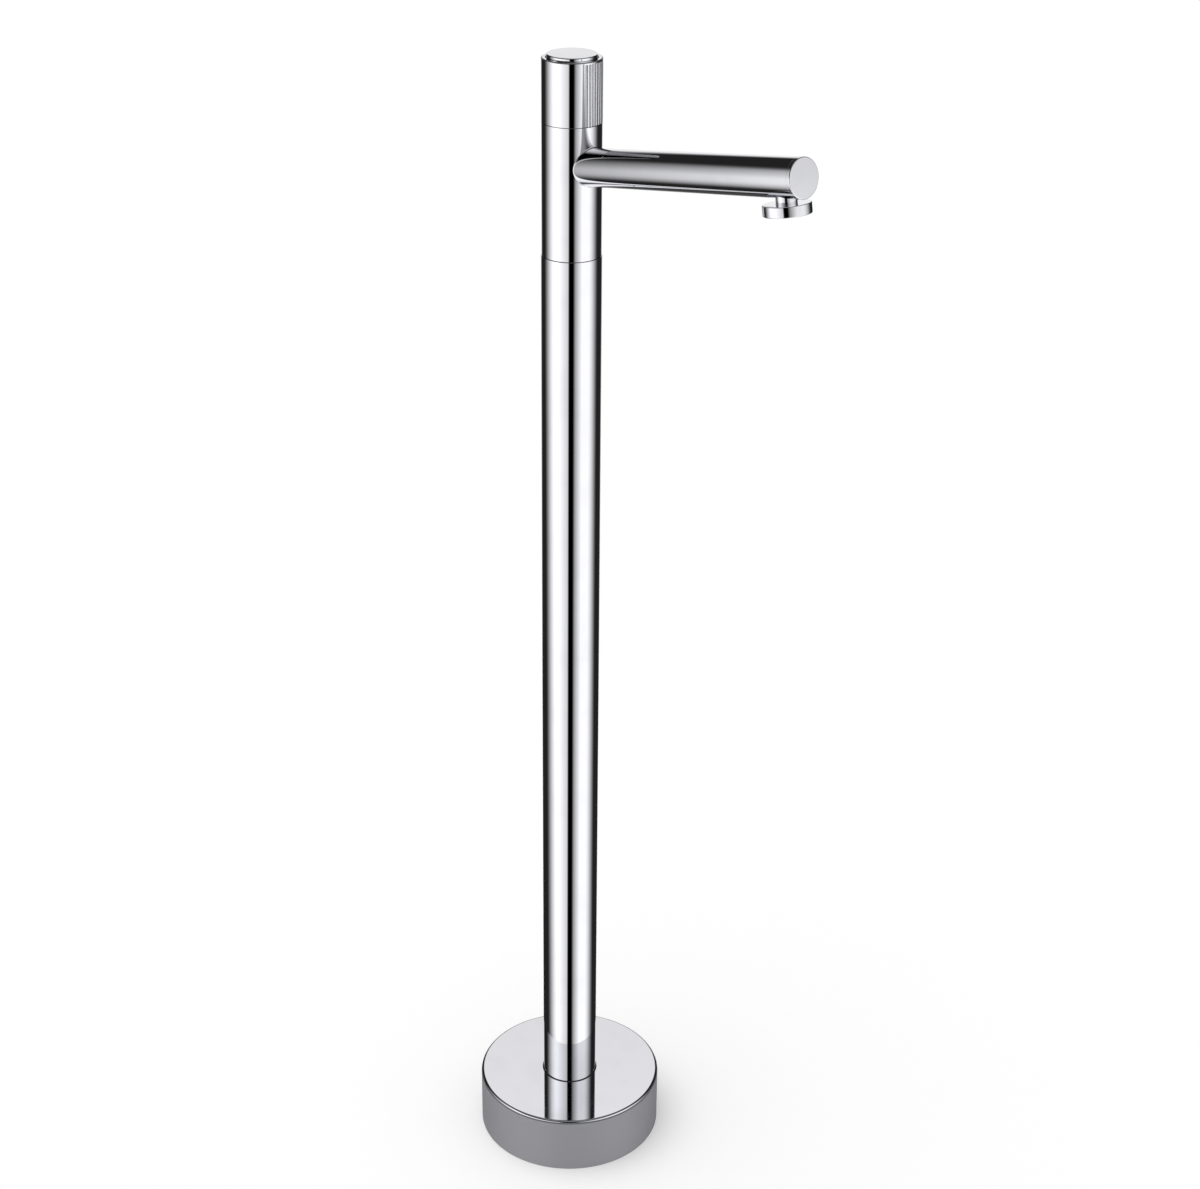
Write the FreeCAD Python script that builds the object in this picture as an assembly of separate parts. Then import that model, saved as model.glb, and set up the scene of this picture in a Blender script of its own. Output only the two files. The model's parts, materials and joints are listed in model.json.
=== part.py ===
import FreeCAD, Part
import math
import os

# Floor standing bath filler, in millimetres.
# +Z is up, the spout points along +X when at rest, and the origin is the centre of the
# base on the floor. A round column carries a swivelling spout body, and on top of that a
# mixing knob with a push button in it. Hot and cold hoses rise inside the column to a
# brass valve core, which the spout body turns around.

Vec = FreeCAD.Vector
UP = Vec(0, 0, 1)
DOWN = Vec(0, 0, -1)

# ---- driving dimensions: outside ----
TOTAL_H = 867.1            # floor to the top of the button
PIPE_R = 21.0              # column tube, 42 mm across
PIPE_WALL = 1.5
COVER_HOLE_R = 22.0        # hole in the base cover, for the tube and its rubber ring
BODY_R = 20.6              # spout body and knob, a hair slimmer than the tube
BASE_R = 71.5
BASE_H = 46.5
BASE_WALL = 1.5
BASE_EDGE_R = 2.0
PIPE_TOP_Z = 730.8         # lower hairline, where the spout body starts
BODY_TOP_Z = 822.0         # upper hairline, where the knob starts
SEAM = 0.3                 # open height of each hairline
KNOB_TOP_Z = 864.8
SPOUT_R = 12.8
SPOUT_Z = 791.5            # where the spout's axis meets the column's axis
SPOUT_TILT = math.radians(9.7)
SPOUT_LEN = 214.7          # column axis to the spout's end face
SADDLE_R = 3.0             # fillet where the spout grows out of the body
OUTLET_ALONG = 198.3       # outlet's axis, measured along the spout
OUTLET_R = 15.4
OUTLET_H = 6.8
OUTLET_DROP = 22.5         # spout axis to the outlet's lower face
CAP_R = 17.2
CAP_GROOVE = 0.5           # open ring between the button and the knob's rim
BROKEN_EDGE = 0.12         # bevel on the edges at the hairlines
CAP_SKIRT_Z = 859.0        # lower edge of the button
CAP_INNER_Z = 863.6        # underside of the button's top

# ---- driving dimensions: inside ----
RUN = 0.05                 # radial clearance of a running fit
GAP = 0.1                  # play between two faces that slide on each other
SPOUT_BORE_R = 11.0
CORE_R = 18.0              # the core's two journals, which the spout body turns on
SLEEVE_BORE_R = CORE_R + RUN
CORE_WAIST_R = 15.0
CORE_FOOT_Z = 704.0
CORE_NECK_R = 16.5
CORE_TOP_Z = 838.0
POCKET_R = 12.9            # pocket for the cartridge
POCKET_Z = 802.0
SPOUT_PORT_Z = 786.0       # where the mixed water leaves the core for the spout
OUT_WELL_R = 4.0           # well under the cartridge's outlet port
HOSE_Y = 10.5              # hot hose at +Y, cold hose at -Y
HOSE_R = 5.0
HOSE_BORE_R = 3.5
HOSE_FOOT_Z = 25.2
HOSE_TOP_Z = 703.0
FERRULE_R = 6.3
FERRULE_H = 12.0
STUD_BORE_R = 2.4
SPINDLE_R = 4.5
ROD_R = 1.5                # button's push rod, 3 mm across
PORT_Y = 7.6               # cartridge inlet ports
PORT_R = 2.5
OUT_PORT_R = 2.7           # cartridge outlet port, on the axis
CARTRIDGE_R = 12.6
DISC_Z = 807.0             # foot of the fixed ceramic disc
DISC_H = 4.0
SHAFT_Z = 815.1            # foot of the spindle's driving flange
BUTTON_TRAVEL = 2.0
PLATE_R = 64.0
PLATE_H = 10.0
HUB_R = 31.0
HUB_TOP_Z = 42.0
ANCHOR_PCD_R = 50.0
ANCHOR_HOLE_R = 4.5
SEAT_Z = 20.0              # the column tube stands on this step
INLET_BORE_R = 7.5         # thread root of a 3/8 inch inlet
INLET_FOOT_Z = 1.0
INLET_NUT_H = 11.0
PLATE_SCREW_X = 21.8       # two screws hold the inlet plate
GRUB_Z = 32.0              # height of the three screws that clamp the tube
STOP_PIN_Z = 738.0
STOP_PIN_R = 1.45
STOP_PIN_START_R = 12.0
STOP_PIN_END_R = 19.3
SEAL_WIRE_R = 0.85         # O-ring section of the core and the swivel
FLUTE_COUNT = 8            # grooves in each of the knob's two grip zones
FLUTE_PITCH = 7.5          # degrees
FLUTE_START = -13.5        # first groove of the front zone, degrees from the spout
FLUTE_DEPTH = 0.35
FLUTE_TOOL_R = 1.6

CAP_TOP_Z = TOTAL_H
KNOB_FOOT_Z = BODY_TOP_Z + SEAM
SLEEVE_FOOT_Z = PIPE_TOP_Z + SEAM
COLLAR_Z = BODY_TOP_Z - 4.0      # floor of the ring-shaped step in the body's top
COLLAR_R = 19.4


# ---- shape helpers ----
def rod(radius, height, foot_z, x=0.0, y=0.0):
    """An upright cylinder."""
    return Part.makeCylinder(radius, height, Vec(x, y, foot_z), UP)


def tube(outer_r, inner_r, foot_z, top_z, x=0.0, y=0.0):
    """An upright tube between two heights."""
    height = top_z - foot_z
    return rod(outer_r, height, foot_z, x, y).cut(rod(inner_r, height, foot_z, x, y))


def turned(profile):
    """Revolve a closed outline of (radius, z) corners about the Z axis."""
    corners = [Vec(r, 0, z) for r, z in profile]
    face = Part.Face(Part.makePolygon(corners + corners[:1]))
    return face.revolve(Vec(0, 0, 0), UP, 360)


def o_ring(mean_r, wire_r, z):
    """A rubber ring lying level at height z, its section drawn with six flats."""
    section = []
    for k in range(6):
        angle = math.radians(60 * k + 30)
        section.append((mean_r + wire_r * math.cos(angle), z + wire_r * math.sin(angle)))
    return turned(section)


def tangent_arc(start, corner, end):
    """The arc that leaves start towards corner and arrives at end from it."""
    middle = (start + end) / 2
    half_chord = (end - start).Length / 2
    half_turn = math.atan2((corner - middle).Length, half_chord)
    rise = half_chord * math.tan(half_turn / 2)
    return Part.Arc(start, middle + (corner - middle).normalize() * rise, end).toShape()


def coil_path(radius, height, turns, foot_z):
    """A helix as pairs of tangent arcs, one pair for each half turn, starting on +X."""
    climb = height / turns / (2 * math.pi)
    edges = []
    for k in range(round(2 * turns)):
        ends = []
        ways = []
        for angle in (math.pi * k, math.pi * (k + 1)):
            ends.append(Vec(radius * math.cos(angle), radius * math.sin(angle), foot_z + climb * angle))
            way = Vec(-radius * math.sin(angle), radius * math.cos(angle), climb)
            ways.append(way.normalize())
        chord = ends[1] - ends[0]
        spread = 2 * (1 - ways[0].dot(ways[1]))
        lean = chord.dot(ways[0] + ways[1])
        reach = (math.sqrt(lean ** 2 + spread * chord.dot(chord)) - lean) / spread
        first = ends[0] + ways[0] * reach
        last = ends[1] - ways[1] * reach
        joint = (first + last) / 2
        edges.append(tangent_arc(ends[0], first, joint))
        edges.append(tangent_arc(joint, last, ends[1]))
    return Part.Wire(edges)


def hexagon(across_flats, foot_z, height, x=0.0, y=0.0):
    """An upright hexagonal prism with two flats facing the Y axis."""
    corner_r = across_flats / math.sqrt(3)
    corners = []
    for k in range(6):
        angle = math.radians(60 * k)
        corners.append(Vec(x + corner_r * math.cos(angle), y + corner_r * math.sin(angle), foot_z))
    return Part.Face(Part.makePolygon(corners + corners[:1])).extrude(UP * height)


def sector(outer_r, inner_r, foot_z, height, start_deg, end_deg):
    """A kidney-shaped block: part of a ring between two angles from +X."""
    span = end_deg - start_deg
    outer = Part.makeCylinder(outer_r, height, Vec(0, 0, foot_z), UP, span)
    outer = outer.cut(rod(inner_r, height, foot_z))
    outer.rotate(Vec(0, 0, 0), UP, start_deg)
    return outer


def between(radius, start, end):
    """A cylinder from one point to another, such as a drilled passage."""
    path = end - start
    return Part.makeCylinder(radius, path.Length, start, path)


def joined(shapes):
    """Fuse pieces of one casting or turning."""
    return shapes[0].multiFuse(shapes[1:]).removeSplitter()


def outer_edges(shape, radius, z):
    """The circular edges of one radius that lie level at one height."""
    found = []
    for edge in shape.Edges:
        curve = edge.Curve
        level = abs(edge.BoundBox.ZMin - z) < 1e-3 and abs(edge.BoundBox.ZMax - z) < 1e-3
        if isinstance(curve, Part.Circle) and level and abs(curve.Radius - radius) < 1e-3:
            found.append(edge)
    return found


# ---- spout frame: distances along the tilted spout and square to it ----
SPOUT_DIR = Vec(math.cos(SPOUT_TILT), 0, math.sin(SPOUT_TILT))
SPOUT_DROP = Vec(math.sin(SPOUT_TILT), 0, -math.cos(SPOUT_TILT))
SPOUT_ORIGIN = Vec(0, 0, SPOUT_Z)
NECK_HOLE_R = 6.8
NECK_BORE_R = 4.8
END_CAP_H = 3.0
OUTLET_TOP_DROP = OUTLET_DROP - OUTLET_H
OUTLET_FLOOR_DROP = OUTLET_TOP_DROP + 2.7
RECESS_R = 11.8            # the outlet's open underside


def spout_point(along, drop=0.0):
    """A point in the spout's upright plane."""
    return SPOUT_ORIGIN + SPOUT_DIR * along + SPOUT_DROP * drop


def along_spout(radius, start, end):
    """A cylinder on the spout's own axis."""
    return between(radius, spout_point(start), spout_point(end))


def through_outlet(radius, start_drop, end_drop):
    """A cylinder on the outlet's axis, square to the spout."""
    return between(radius, spout_point(OUTLET_ALONG, start_drop), spout_point(OUTLET_ALONG, end_drop))


# ---- base ----
def base_cover():
    """Spun cover that hides the floor flange, open below, with a hole for the tube."""
    cover = rod(BASE_R, BASE_H, 0)
    cover = cover.makeFillet(BASE_EDGE_R, outer_edges(cover, BASE_R, BASE_H))
    hollow = rod(BASE_R - BASE_WALL, BASE_H - BASE_WALL, 0)
    return cover.cut(hollow).cut(rod(COVER_HOLE_R, BASE_H, 0))


def foot_ring():
    """Rubber grommet in the cover's hole, with a thin lip that shows."""
    bore_r = PIPE_R + 0.1
    groove_r = COVER_HOLE_R - 0.1
    lip_r = COVER_HOLE_R + 0.3
    lip_top = BASE_H + 0.5
    return turned([(bore_r, BASE_H - 2.5), (groove_r, BASE_H - 2.5), (groove_r, BASE_H), (lip_r, BASE_H),
                   (lip_r, BASE_H + 0.3), (lip_r - 0.2, lip_top), (bore_r, lip_top)])


def floor_flange():
    """Cast flange: plate, ribbed hub, step for the tube, room for the two inlets."""
    edge = 1.5
    root = 5.0
    rib_r = PLATE_R - 6.0
    flange = turned([(0, 0), (PLATE_R, 0), (PLATE_R, PLATE_H - edge), (PLATE_R - edge, PLATE_H),
                     (HUB_R + root, PLATE_H), (HUB_R, PLATE_H + root), (HUB_R, HUB_TOP_Z), (0, HUB_TOP_Z)])
    half_rib = Vec(0, 3.0, 0)
    profile = [Vec(HUB_R - 2, 0, PLATE_H - 1), Vec(rib_r, 0, PLATE_H - 1), Vec(rib_r, 0, PLATE_H + 2),
               Vec(HUB_R + 1, 0, HUB_TOP_Z - 6), Vec(HUB_R - 2, 0, HUB_TOP_Z - 6)]
    profile = [corner - half_rib for corner in profile]
    rib = Part.Face(Part.makePolygon(profile + profile[:1])).extrude(half_rib * 2)
    ribs = []
    for k in range(4):
        copy = rib.copy()
        copy.rotate(Vec(0, 0, 0), UP, 90 * k)
        ribs.append(copy)
    flange = joined([flange] + ribs)
    flange = flange.cut(rod(24.0, 16.0, 0))
    flange = flange.cut(rod(PIPE_R - PIPE_WALL + 0.1, SEAT_Z, 0))
    flange = flange.cut(rod(PIPE_R + RUN, HUB_TOP_Z, SEAT_Z))
    for k in range(4):
        angle = math.radians(45 + 90 * k)
        x = ANCHOR_PCD_R * math.cos(angle)
        y = ANCHOR_PCD_R * math.sin(angle)
        flange = flange.cut(rod(ANCHOR_HOLE_R, PLATE_H + 2, -1, x, y))
    for k in range(3):
        flange = flange.cut(grub_screw_blank(2.5, 120 * k + 45, GRUB_Z, PIPE_R, HUB_R + 2))
    for side in (-1, 1):
        flange = flange.cut(rod(1.5, 3.0, 16.0, PLATE_SCREW_X * side, 0))
    return flange


def grub_screw_blank(radius, angle_deg, z, start_r, end_r):
    """A level cylinder pointing away from the column's axis."""
    angle = math.radians(angle_deg)
    outward = Vec(math.cos(angle), math.sin(angle), 0)
    return between(radius, Vec(0, 0, z) + outward * start_r, Vec(0, 0, z) + outward * end_r)


def flange_grub_screws():
    """Three socket-head grub screws that clamp the tube in the flange's hub."""
    screws = []
    for k in range(3):
        angle = 120 * k + 45
        screw = grub_screw_blank(2.4, angle, GRUB_Z, PIPE_R + 0.02, HUB_R - 0.5)
        socket = grub_screw_blank(1.25, angle, GRUB_Z, HUB_R - 3.0, HUB_R)
        screws.append(screw.cut(socket))
    return Part.makeCompound(screws)


def inlet_plate():
    """Round plate under the step, which holds the two inlet unions in place."""
    plate = rod(23.8, 4.0, 12.0)
    for side in (-1, 1):
        plate = plate.cut(rod(6.1, 4.0, 12.0, 0, HOSE_Y * side))
        plate = plate.cut(rod(1.7, 4.0, 12.0, PLATE_SCREW_X * side, 0))
    return plate


def inlet_plate_screws():
    """Two screws that hold the inlet plate up against the flange's step."""
    screws = []
    for side in (-1, 1):
        head = rod(2.0, 1.8, 10.2, PLATE_SCREW_X * side, 0)
        screws.append(joined([head, rod(1.4, 6.4, 12.0, PLATE_SCREW_X * side, 0)]))
    return Part.makeCompound(screws)


def inlet_union(side):
    """Hexagonal inlet with a female thread below and a hose spigot above."""
    y = HOSE_Y * side
    shank_z = INLET_FOOT_Z + INLET_NUT_H
    union = joined([hexagon(19.0, INLET_FOOT_Z, INLET_NUT_H, 0, y), rod(6.0, 13.0, shank_z, 0, y),
                    rod(3.4, 9.0, shank_z + 13.0, 0, y)])
    union = union.cut(rod(INLET_BORE_R, 9.0, INLET_FOOT_Z, 0, y))
    return union.cut(rod(STUD_BORE_R, 40.0, INLET_FOOT_Z, 0, y))


def supply_hose(side):
    """Flexible hose inside the tube, from its inlet to the valve core."""
    return tube(HOSE_R, HOSE_BORE_R, HOSE_FOOT_Z, HOSE_TOP_Z, 0, HOSE_Y * side)


def hose_ferrules():
    """Four crimped sleeves on the ends of the hoses."""
    sleeves = []
    for side in (-1, 1):
        for foot_z in (HOSE_FOOT_Z, HOSE_TOP_Z - FERRULE_H):
            sleeves.append(tube(FERRULE_R, HOSE_R, foot_z, foot_z + FERRULE_H, 0, HOSE_Y * side))
    return Part.makeCompound(sleeves)


def hose_studs():
    """Two barbed studs that join the hoses to the core."""
    studs = []
    for side in (-1, 1):
        y = HOSE_Y * side
        stud = joined([rod(3.4, FERRULE_H, HOSE_TOP_Z - FERRULE_H, 0, y), rod(4.9, 12.4, HOSE_TOP_Z, 0, y)])
        studs.append(stud.cut(rod(STUD_BORE_R, 30.0, HOSE_TOP_Z - FERRULE_H - 1, 0, y)))
    return Part.makeCompound(studs)


# ---- column ----
def column_pipe():
    """Drawn tube from the flange's step to the lower hairline."""
    pipe = tube(PIPE_R, PIPE_R - PIPE_WALL, SEAT_Z, PIPE_TOP_Z)
    return pipe.makeChamfer(BROKEN_EDGE, outer_edges(pipe, PIPE_R, PIPE_TOP_Z))


SEAL_GROOVE_H = 2.4
SWIVEL_SEAL_Z = (746.0, 812.0)
CORE_SEAL_Z = 721.0
SWIVEL_GROOVE_R = 16.2
SPIGOT_GROOVE_R = 17.6


def valve_core():
    """Turned brass core: spigot in the tube, two journals, waist, neck and cartridge pocket."""
    spigot_r = PIPE_R - PIPE_WALL - RUN
    waist_foot, waist_top = 755.0, 803.0
    taper = CORE_R - CORE_WAIST_R
    core = turned([(0, CORE_FOOT_Z), (spigot_r, CORE_FOOT_Z), (spigot_r, PIPE_TOP_Z), (CORE_R, PIPE_TOP_Z),
                   (CORE_R, waist_foot - taper), (CORE_WAIST_R, waist_foot), (CORE_WAIST_R, waist_top),
                   (CORE_R, waist_top + taper), (CORE_R, COLLAR_Z), (CORE_NECK_R, COLLAR_Z),
                   (CORE_NECK_R, CORE_TOP_Z), (0, CORE_TOP_Z)])
    core = core.cut(rod(POCKET_R, CORE_TOP_Z - POCKET_Z, POCKET_Z))
    for z in SWIVEL_SEAL_Z:
        foot = z - SEAL_GROOVE_H / 2
        core = core.cut(tube(CORE_R + 1, SWIVEL_GROOVE_R, foot, foot + SEAL_GROOVE_H))
    foot = CORE_SEAL_Z - SEAL_GROOVE_H / 2
    core = core.cut(tube(spigot_r + 1, SPIGOT_GROOVE_R, foot, foot + SEAL_GROOVE_H))
    stud_depth = 12.0
    for side in (-1, 1):
        y = HOSE_Y * side
        core = core.cut(rod(HOSE_R, stud_depth, CORE_FOOT_Z, 0, y))
        passage_foot = Vec(0, y, CORE_FOOT_Z + stud_depth - 2)
        core = core.cut(between(PORT_R, passage_foot, Vec(0, PORT_Y * side, POCKET_Z + 1)))
    core = core.cut(rod(OUT_PORT_R, 5.0, POCKET_Z - 4))
    core = core.cut(rod(OUT_WELL_R, 18.0, POCKET_Z - 21))
    core = core.cut(between(4.2, Vec(0, 0, SPOUT_PORT_Z), Vec(CORE_R, 0, SPOUT_PORT_Z)))
    return core.cut(grub_screw_blank(STOP_PIN_R + RUN, 180, STOP_PIN_Z, STOP_PIN_START_R, CORE_R + 1))


def core_seal():
    """O-ring between the core's spigot and the tube."""
    return o_ring(SPIGOT_GROOVE_R + SEAL_WIRE_R + RUN, SEAL_WIRE_R, CORE_SEAL_Z)


def swivel_seals():
    """Two O-rings that keep the water between the core and the turning spout body."""
    mean_r = SWIVEL_GROOVE_R + SEAL_WIRE_R + RUN
    return Part.makeCompound([o_ring(mean_r, SEAL_WIRE_R, z) for z in SWIVEL_SEAL_Z])


def swivel_stop_pin():
    """Pin at the back of the core, which stops the spout at a quarter turn each way."""
    return grub_screw_blank(STOP_PIN_R, 180, STOP_PIN_Z, STOP_PIN_START_R, STOP_PIN_END_R)


def lower_slip_ring():
    """Plastic washer that the spout body turns on, at the lower hairline."""
    return tube(20.0, CORE_R + RUN, PIPE_TOP_Z, SLEEVE_FOOT_Z - 0.05)


def upper_slip_ring():
    """Plastic washer in the step of the spout body, under the cartridge nut."""
    return tube(19.0, CORE_NECK_R + GAP, COLLAR_Z + 0.05, COLLAR_Z + 1.5)


# ---- cartridge ----
SPINDLE_SEAL_Z = 830.0


def cartridge_base_seal():
    """Rubber disc with three ports, on the pocket's floor."""
    seal = rod(CARTRIDGE_R, 2.0, POCKET_Z)
    seal = seal.cut(rod(OUT_PORT_R, 2.0, POCKET_Z))
    for side in (-1, 1):
        seal = seal.cut(rod(PORT_R, 2.0, POCKET_Z, 0, PORT_Y * side))
    return seal


def cartridge_housing():
    """Moulded cup that holds the two discs and guides the spindle."""
    foot_z = POCKET_Z + 2.0
    housing = turned([(0, foot_z), (CARTRIDGE_R, foot_z), (CARTRIDGE_R, CORE_TOP_Z), (16.2, CORE_TOP_Z),
                      (16.2, CORE_TOP_Z + 2), (0, CORE_TOP_Z + 2)])
    housing = housing.cut(rod(10.6, 13.1, DISC_Z))
    housing = housing.cut(rod(SPINDLE_R + RUN, 30.0, SHAFT_Z))
    housing = housing.cut(tube(6.4, SPINDLE_R, SPINDLE_SEAL_Z - 1.2, SPINDLE_SEAL_Z + 1.2))
    housing = housing.cut(rod(OUT_PORT_R, 4.0, foot_z - 0.5))
    for side in (-1, 1):
        housing = housing.cut(rod(PORT_R, 4.0, foot_z - 0.5, 0, PORT_Y * side))
    return housing


def fixed_disc():
    """Ceramic disc with two kidney-shaped inlets and a round outlet."""
    disc = rod(10.5, DISC_H, DISC_Z).cut(rod(OUT_PORT_R, DISC_H, DISC_Z))
    for start in (50, -130):
        disc = disc.cut(sector(9.6, 5.2, DISC_Z, DISC_H, start, start + 80))
    return disc


def moving_disc():
    """Ceramic disc that turns with the spindle and opens more of one inlet than the other."""
    foot_z = DISC_Z + DISC_H + RUN
    way_h = 2.2
    disc = rod(10.2, DISC_H, foot_z)
    disc = disc.cut(rod(ROD_R + 0.3, DISC_H, foot_z))
    disc = disc.cut(sector(9.8, ROD_R + 0.2, foot_z, way_h, -90, 90))
    return disc.cut(rod(OUT_PORT_R, way_h, foot_z))


def spindle():
    """Hollow spindle with a driving flange, splined at the top for the knob."""
    shaft = joined([rod(10.2, 3.0, SHAFT_Z), rod(SPINDLE_R, 34.0, SHAFT_Z)])
    shaft = shaft.cut(rod(ROD_R + RUN, 40.0, SHAFT_Z - 1))
    spline_z = 841.0
    for k in range(12):
        slot = Part.makeBox(1.0, 0.6, 9.1, Vec(SPINDLE_R - 0.4, -0.3, spline_z))
        slot.rotate(Vec(0, 0, 0), UP, 30 * k)
        shaft = shaft.cut(slot)
    return shaft


def spindle_seal():
    """O-ring round the spindle, in the housing's groove."""
    return o_ring(5.35, 0.8, SPINDLE_SEAL_Z)


def cartridge_nut():
    """Brass cap nut that holds the cartridge down and the spout body in place."""
    thread_r = CORE_NECK_R + 0.05
    flange_r, flange_foot, flange_top = 19.0, COLLAR_Z + 1.5, BODY_TOP_Z
    nut_r, nut_top = 17.8, 843.5
    bore_r, web_z = 8.0, CORE_TOP_Z + 2
    nut = turned([(thread_r, flange_foot), (flange_r, flange_foot), (flange_r, flange_top),
                  (nut_r, flange_top), (nut_r, nut_top), (bore_r, nut_top), (bore_r, web_z),
                  (thread_r, web_z)])
    for k in range(6):
        notch = Part.makeBox(6.0, 4.0, 2.0, Vec(14.5, -2.0, nut_top - 2))
        notch.rotate(Vec(0, 0, 0), UP, 60 * k)
        nut = nut.cut(notch)
    return nut


# ---- spout ----
def spout_body():
    """Sleeve and spout in one casting, with a filleted saddle, bored through for the water."""
    sleeve = rod(BODY_R, BODY_TOP_Z - SLEEVE_FOOT_Z, SLEEVE_FOOT_Z)
    outside = sleeve.fuse(along_spout(SPOUT_R, 0, SPOUT_LEN - END_CAP_H)).removeSplitter()
    saddle = [edge for edge in outside.Edges if is_saddle(edge)]
    outside = outside.makeFillet(SADDLE_R, saddle)
    body = outside.cut(rod(SLEEVE_BORE_R, 100.0, SLEEVE_FOOT_Z - 1))
    body = body.cut(along_spout(SPOUT_BORE_R, SLEEVE_BORE_R - 6.0, SPOUT_LEN))
    body = body.cut(rod(COLLAR_R, 10.0, COLLAR_Z))
    body = body.cut(through_outlet(NECK_HOLE_R, 0, SPOUT_R + 5))
    half_turn = 95.5
    slot_h = 3.6
    slot_foot = STOP_PIN_Z - slot_h / 2
    body = body.cut(sector(STOP_PIN_END_R + 0.3, SLEEVE_BORE_R - 1, slot_foot, slot_h,
                           180 - half_turn, 180 + half_turn))
    for z in (SLEEVE_FOOT_Z, BODY_TOP_Z):
        body = body.makeChamfer(BROKEN_EDGE, outer_edges(body, BODY_R, z))
    return body


def is_saddle(edge):
    """True for the edges where the spout's outside meets the sleeve's outside."""
    box = edge.BoundBox
    near = box.XMin > 5 and box.XMax < BODY_R + 4
    inside_height = box.ZMin > SLEEVE_FOOT_Z + 5 and box.ZMax < BODY_TOP_Z - 1
    return near and inside_height


def spout_end_cap():
    """Flat cap that closes the spout's end, with a spigot and a fine bevelled edge."""
    disc = along_spout(SPOUT_R, SPOUT_LEN - END_CAP_H, SPOUT_LEN)
    rim = [edge for edge in disc.Edges if isinstance(edge.Curve, Part.Circle)
           and (edge.Curve.Center - spout_point(SPOUT_LEN)).Length < 1e-3]
    disc = disc.makeChamfer(0.4, rim)
    spigot = along_spout(SPOUT_BORE_R - RUN, SPOUT_LEN - END_CAP_H - 4.0, SPOUT_LEN - END_CAP_H + 0.5)
    return joined([disc, spigot])


def outlet_neck():
    """Threaded neck between the spout and the outlet, with the water's way through."""
    neck = through_outlet(NECK_HOLE_R - RUN, 9.8, OUTLET_FLOOR_DROP)
    return neck.cut(through_outlet(NECK_BORE_R, 9.0, OUTLET_FLOOR_DROP + 1))


def outlet_housing():
    """Flat round outlet, hollow below, where the stream leaves."""
    housing = through_outlet(OUTLET_R, OUTLET_TOP_DROP, OUTLET_DROP)
    rims = []
    for drop in (OUTLET_TOP_DROP, OUTLET_DROP):
        centre = spout_point(OUTLET_ALONG, drop)
        rims += [edge for edge in housing.Edges if isinstance(edge.Curve, Part.Circle)
                 and (edge.Curve.Center - centre).Length < 1e-3]
    housing = housing.makeChamfer(0.3, rims)
    housing = housing.cut(through_outlet(NECK_HOLE_R, OUTLET_TOP_DROP - 1, OUTLET_DROP))
    return housing.cut(through_outlet(RECESS_R, OUTLET_FLOOR_DROP, OUTLET_DROP + 1))


SEAL_END_DROP = OUTLET_FLOOR_DROP + 0.6


def outlet_seal():
    """Rubber washer between the neck and the flow straightener."""
    washer = through_outlet(8.4, OUTLET_FLOOR_DROP, SEAL_END_DROP)
    return washer.cut(through_outlet(NECK_BORE_R, OUTLET_FLOOR_DROP - 0.5, SEAL_END_DROP + 0.5))


def flow_straightener():
    """Insert whose honeycomb of small channels makes the stream smooth."""
    start_drop = SEAL_END_DROP
    end_drop = OUTLET_DROP - 0.6
    insert = through_outlet(RECESS_R - 0.1, start_drop, end_drop)
    side = Vec(0, 1, 0)
    pitch = 2.9
    cell_r = 1.3
    rings = 3
    cells = []
    for row in range(-rings, rings + 1):
        for column in range(-rings, rings + 1):
            if abs(row + column) > rings:
                continue
            across = pitch * (column + row / 2)
            ahead = pitch * row * math.sqrt(3) / 2
            centre = spout_point(OUTLET_ALONG + ahead, start_drop - 0.5) + side * across
            corners = []
            for k in range(6):
                angle = math.radians(60 * k)
                corner = centre + SPOUT_DIR * (cell_r * math.cos(angle)) + side * (cell_r * math.sin(angle))
                corners.append(corner)
            face = Part.Face(Part.makePolygon(corners + corners[:1]))
            cells.append(face.extrude(SPOUT_DROP * (end_drop - start_drop + 1)))
    return insert.cut(Part.makeCompound(cells))


# ---- knob and button ----
RIM_BORE_R = CAP_R + CAP_GROOVE
KNOB_FLOOR_Z = 853.0
KNOB_WEB_Z = 849.2
KNOB_CAVITY_R = 18.9
KNOB_HOLE_R = 3.0             # the push rod's way through the knob
KNOB_SCREW_Z = 846.6
KNOB_SCREW_ANGLE = 120.0      # at the back, away from both grip zones


def knob():
    """Round mixing knob: a cup above for the button, a skirt below, fluted where it is gripped."""
    body = turned([(KNOB_HOLE_R, KNOB_WEB_Z), (KNOB_CAVITY_R, KNOB_WEB_Z), (KNOB_CAVITY_R, KNOB_FOOT_Z),
                   (BODY_R - BROKEN_EDGE, KNOB_FOOT_Z), (BODY_R, KNOB_FOOT_Z + BROKEN_EDGE),
                   (BODY_R, KNOB_TOP_Z - 0.5), (BODY_R - 0.5, KNOB_TOP_Z), (RIM_BORE_R + 0.3, KNOB_TOP_Z),
                   (RIM_BORE_R, KNOB_TOP_Z - 0.3), (RIM_BORE_R, KNOB_FLOOR_Z), (KNOB_HOLE_R, KNOB_FLOOR_Z)])
    flutes = []
    flute_axis_r = BODY_R + FLUTE_TOOL_R - FLUTE_DEPTH
    flute_foot = KNOB_FOOT_Z - 1
    flute_top = KNOB_TOP_Z - 1.4
    for zone_start in (FLUTE_START, FLUTE_START + 180):
        for k in range(FLUTE_COUNT):
            angle = math.radians(zone_start + FLUTE_PITCH * k)
            x = flute_axis_r * math.cos(angle)
            y = flute_axis_r * math.sin(angle)
            flutes.append(rod(FLUTE_TOOL_R, flute_top - flute_foot, flute_foot, x, y))
    body = body.cut(Part.makeCompound(flutes))
    return body.cut(grub_screw_blank(2.05, KNOB_SCREW_ANGLE, KNOB_SCREW_Z, 15.0, BODY_R + 1))


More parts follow.
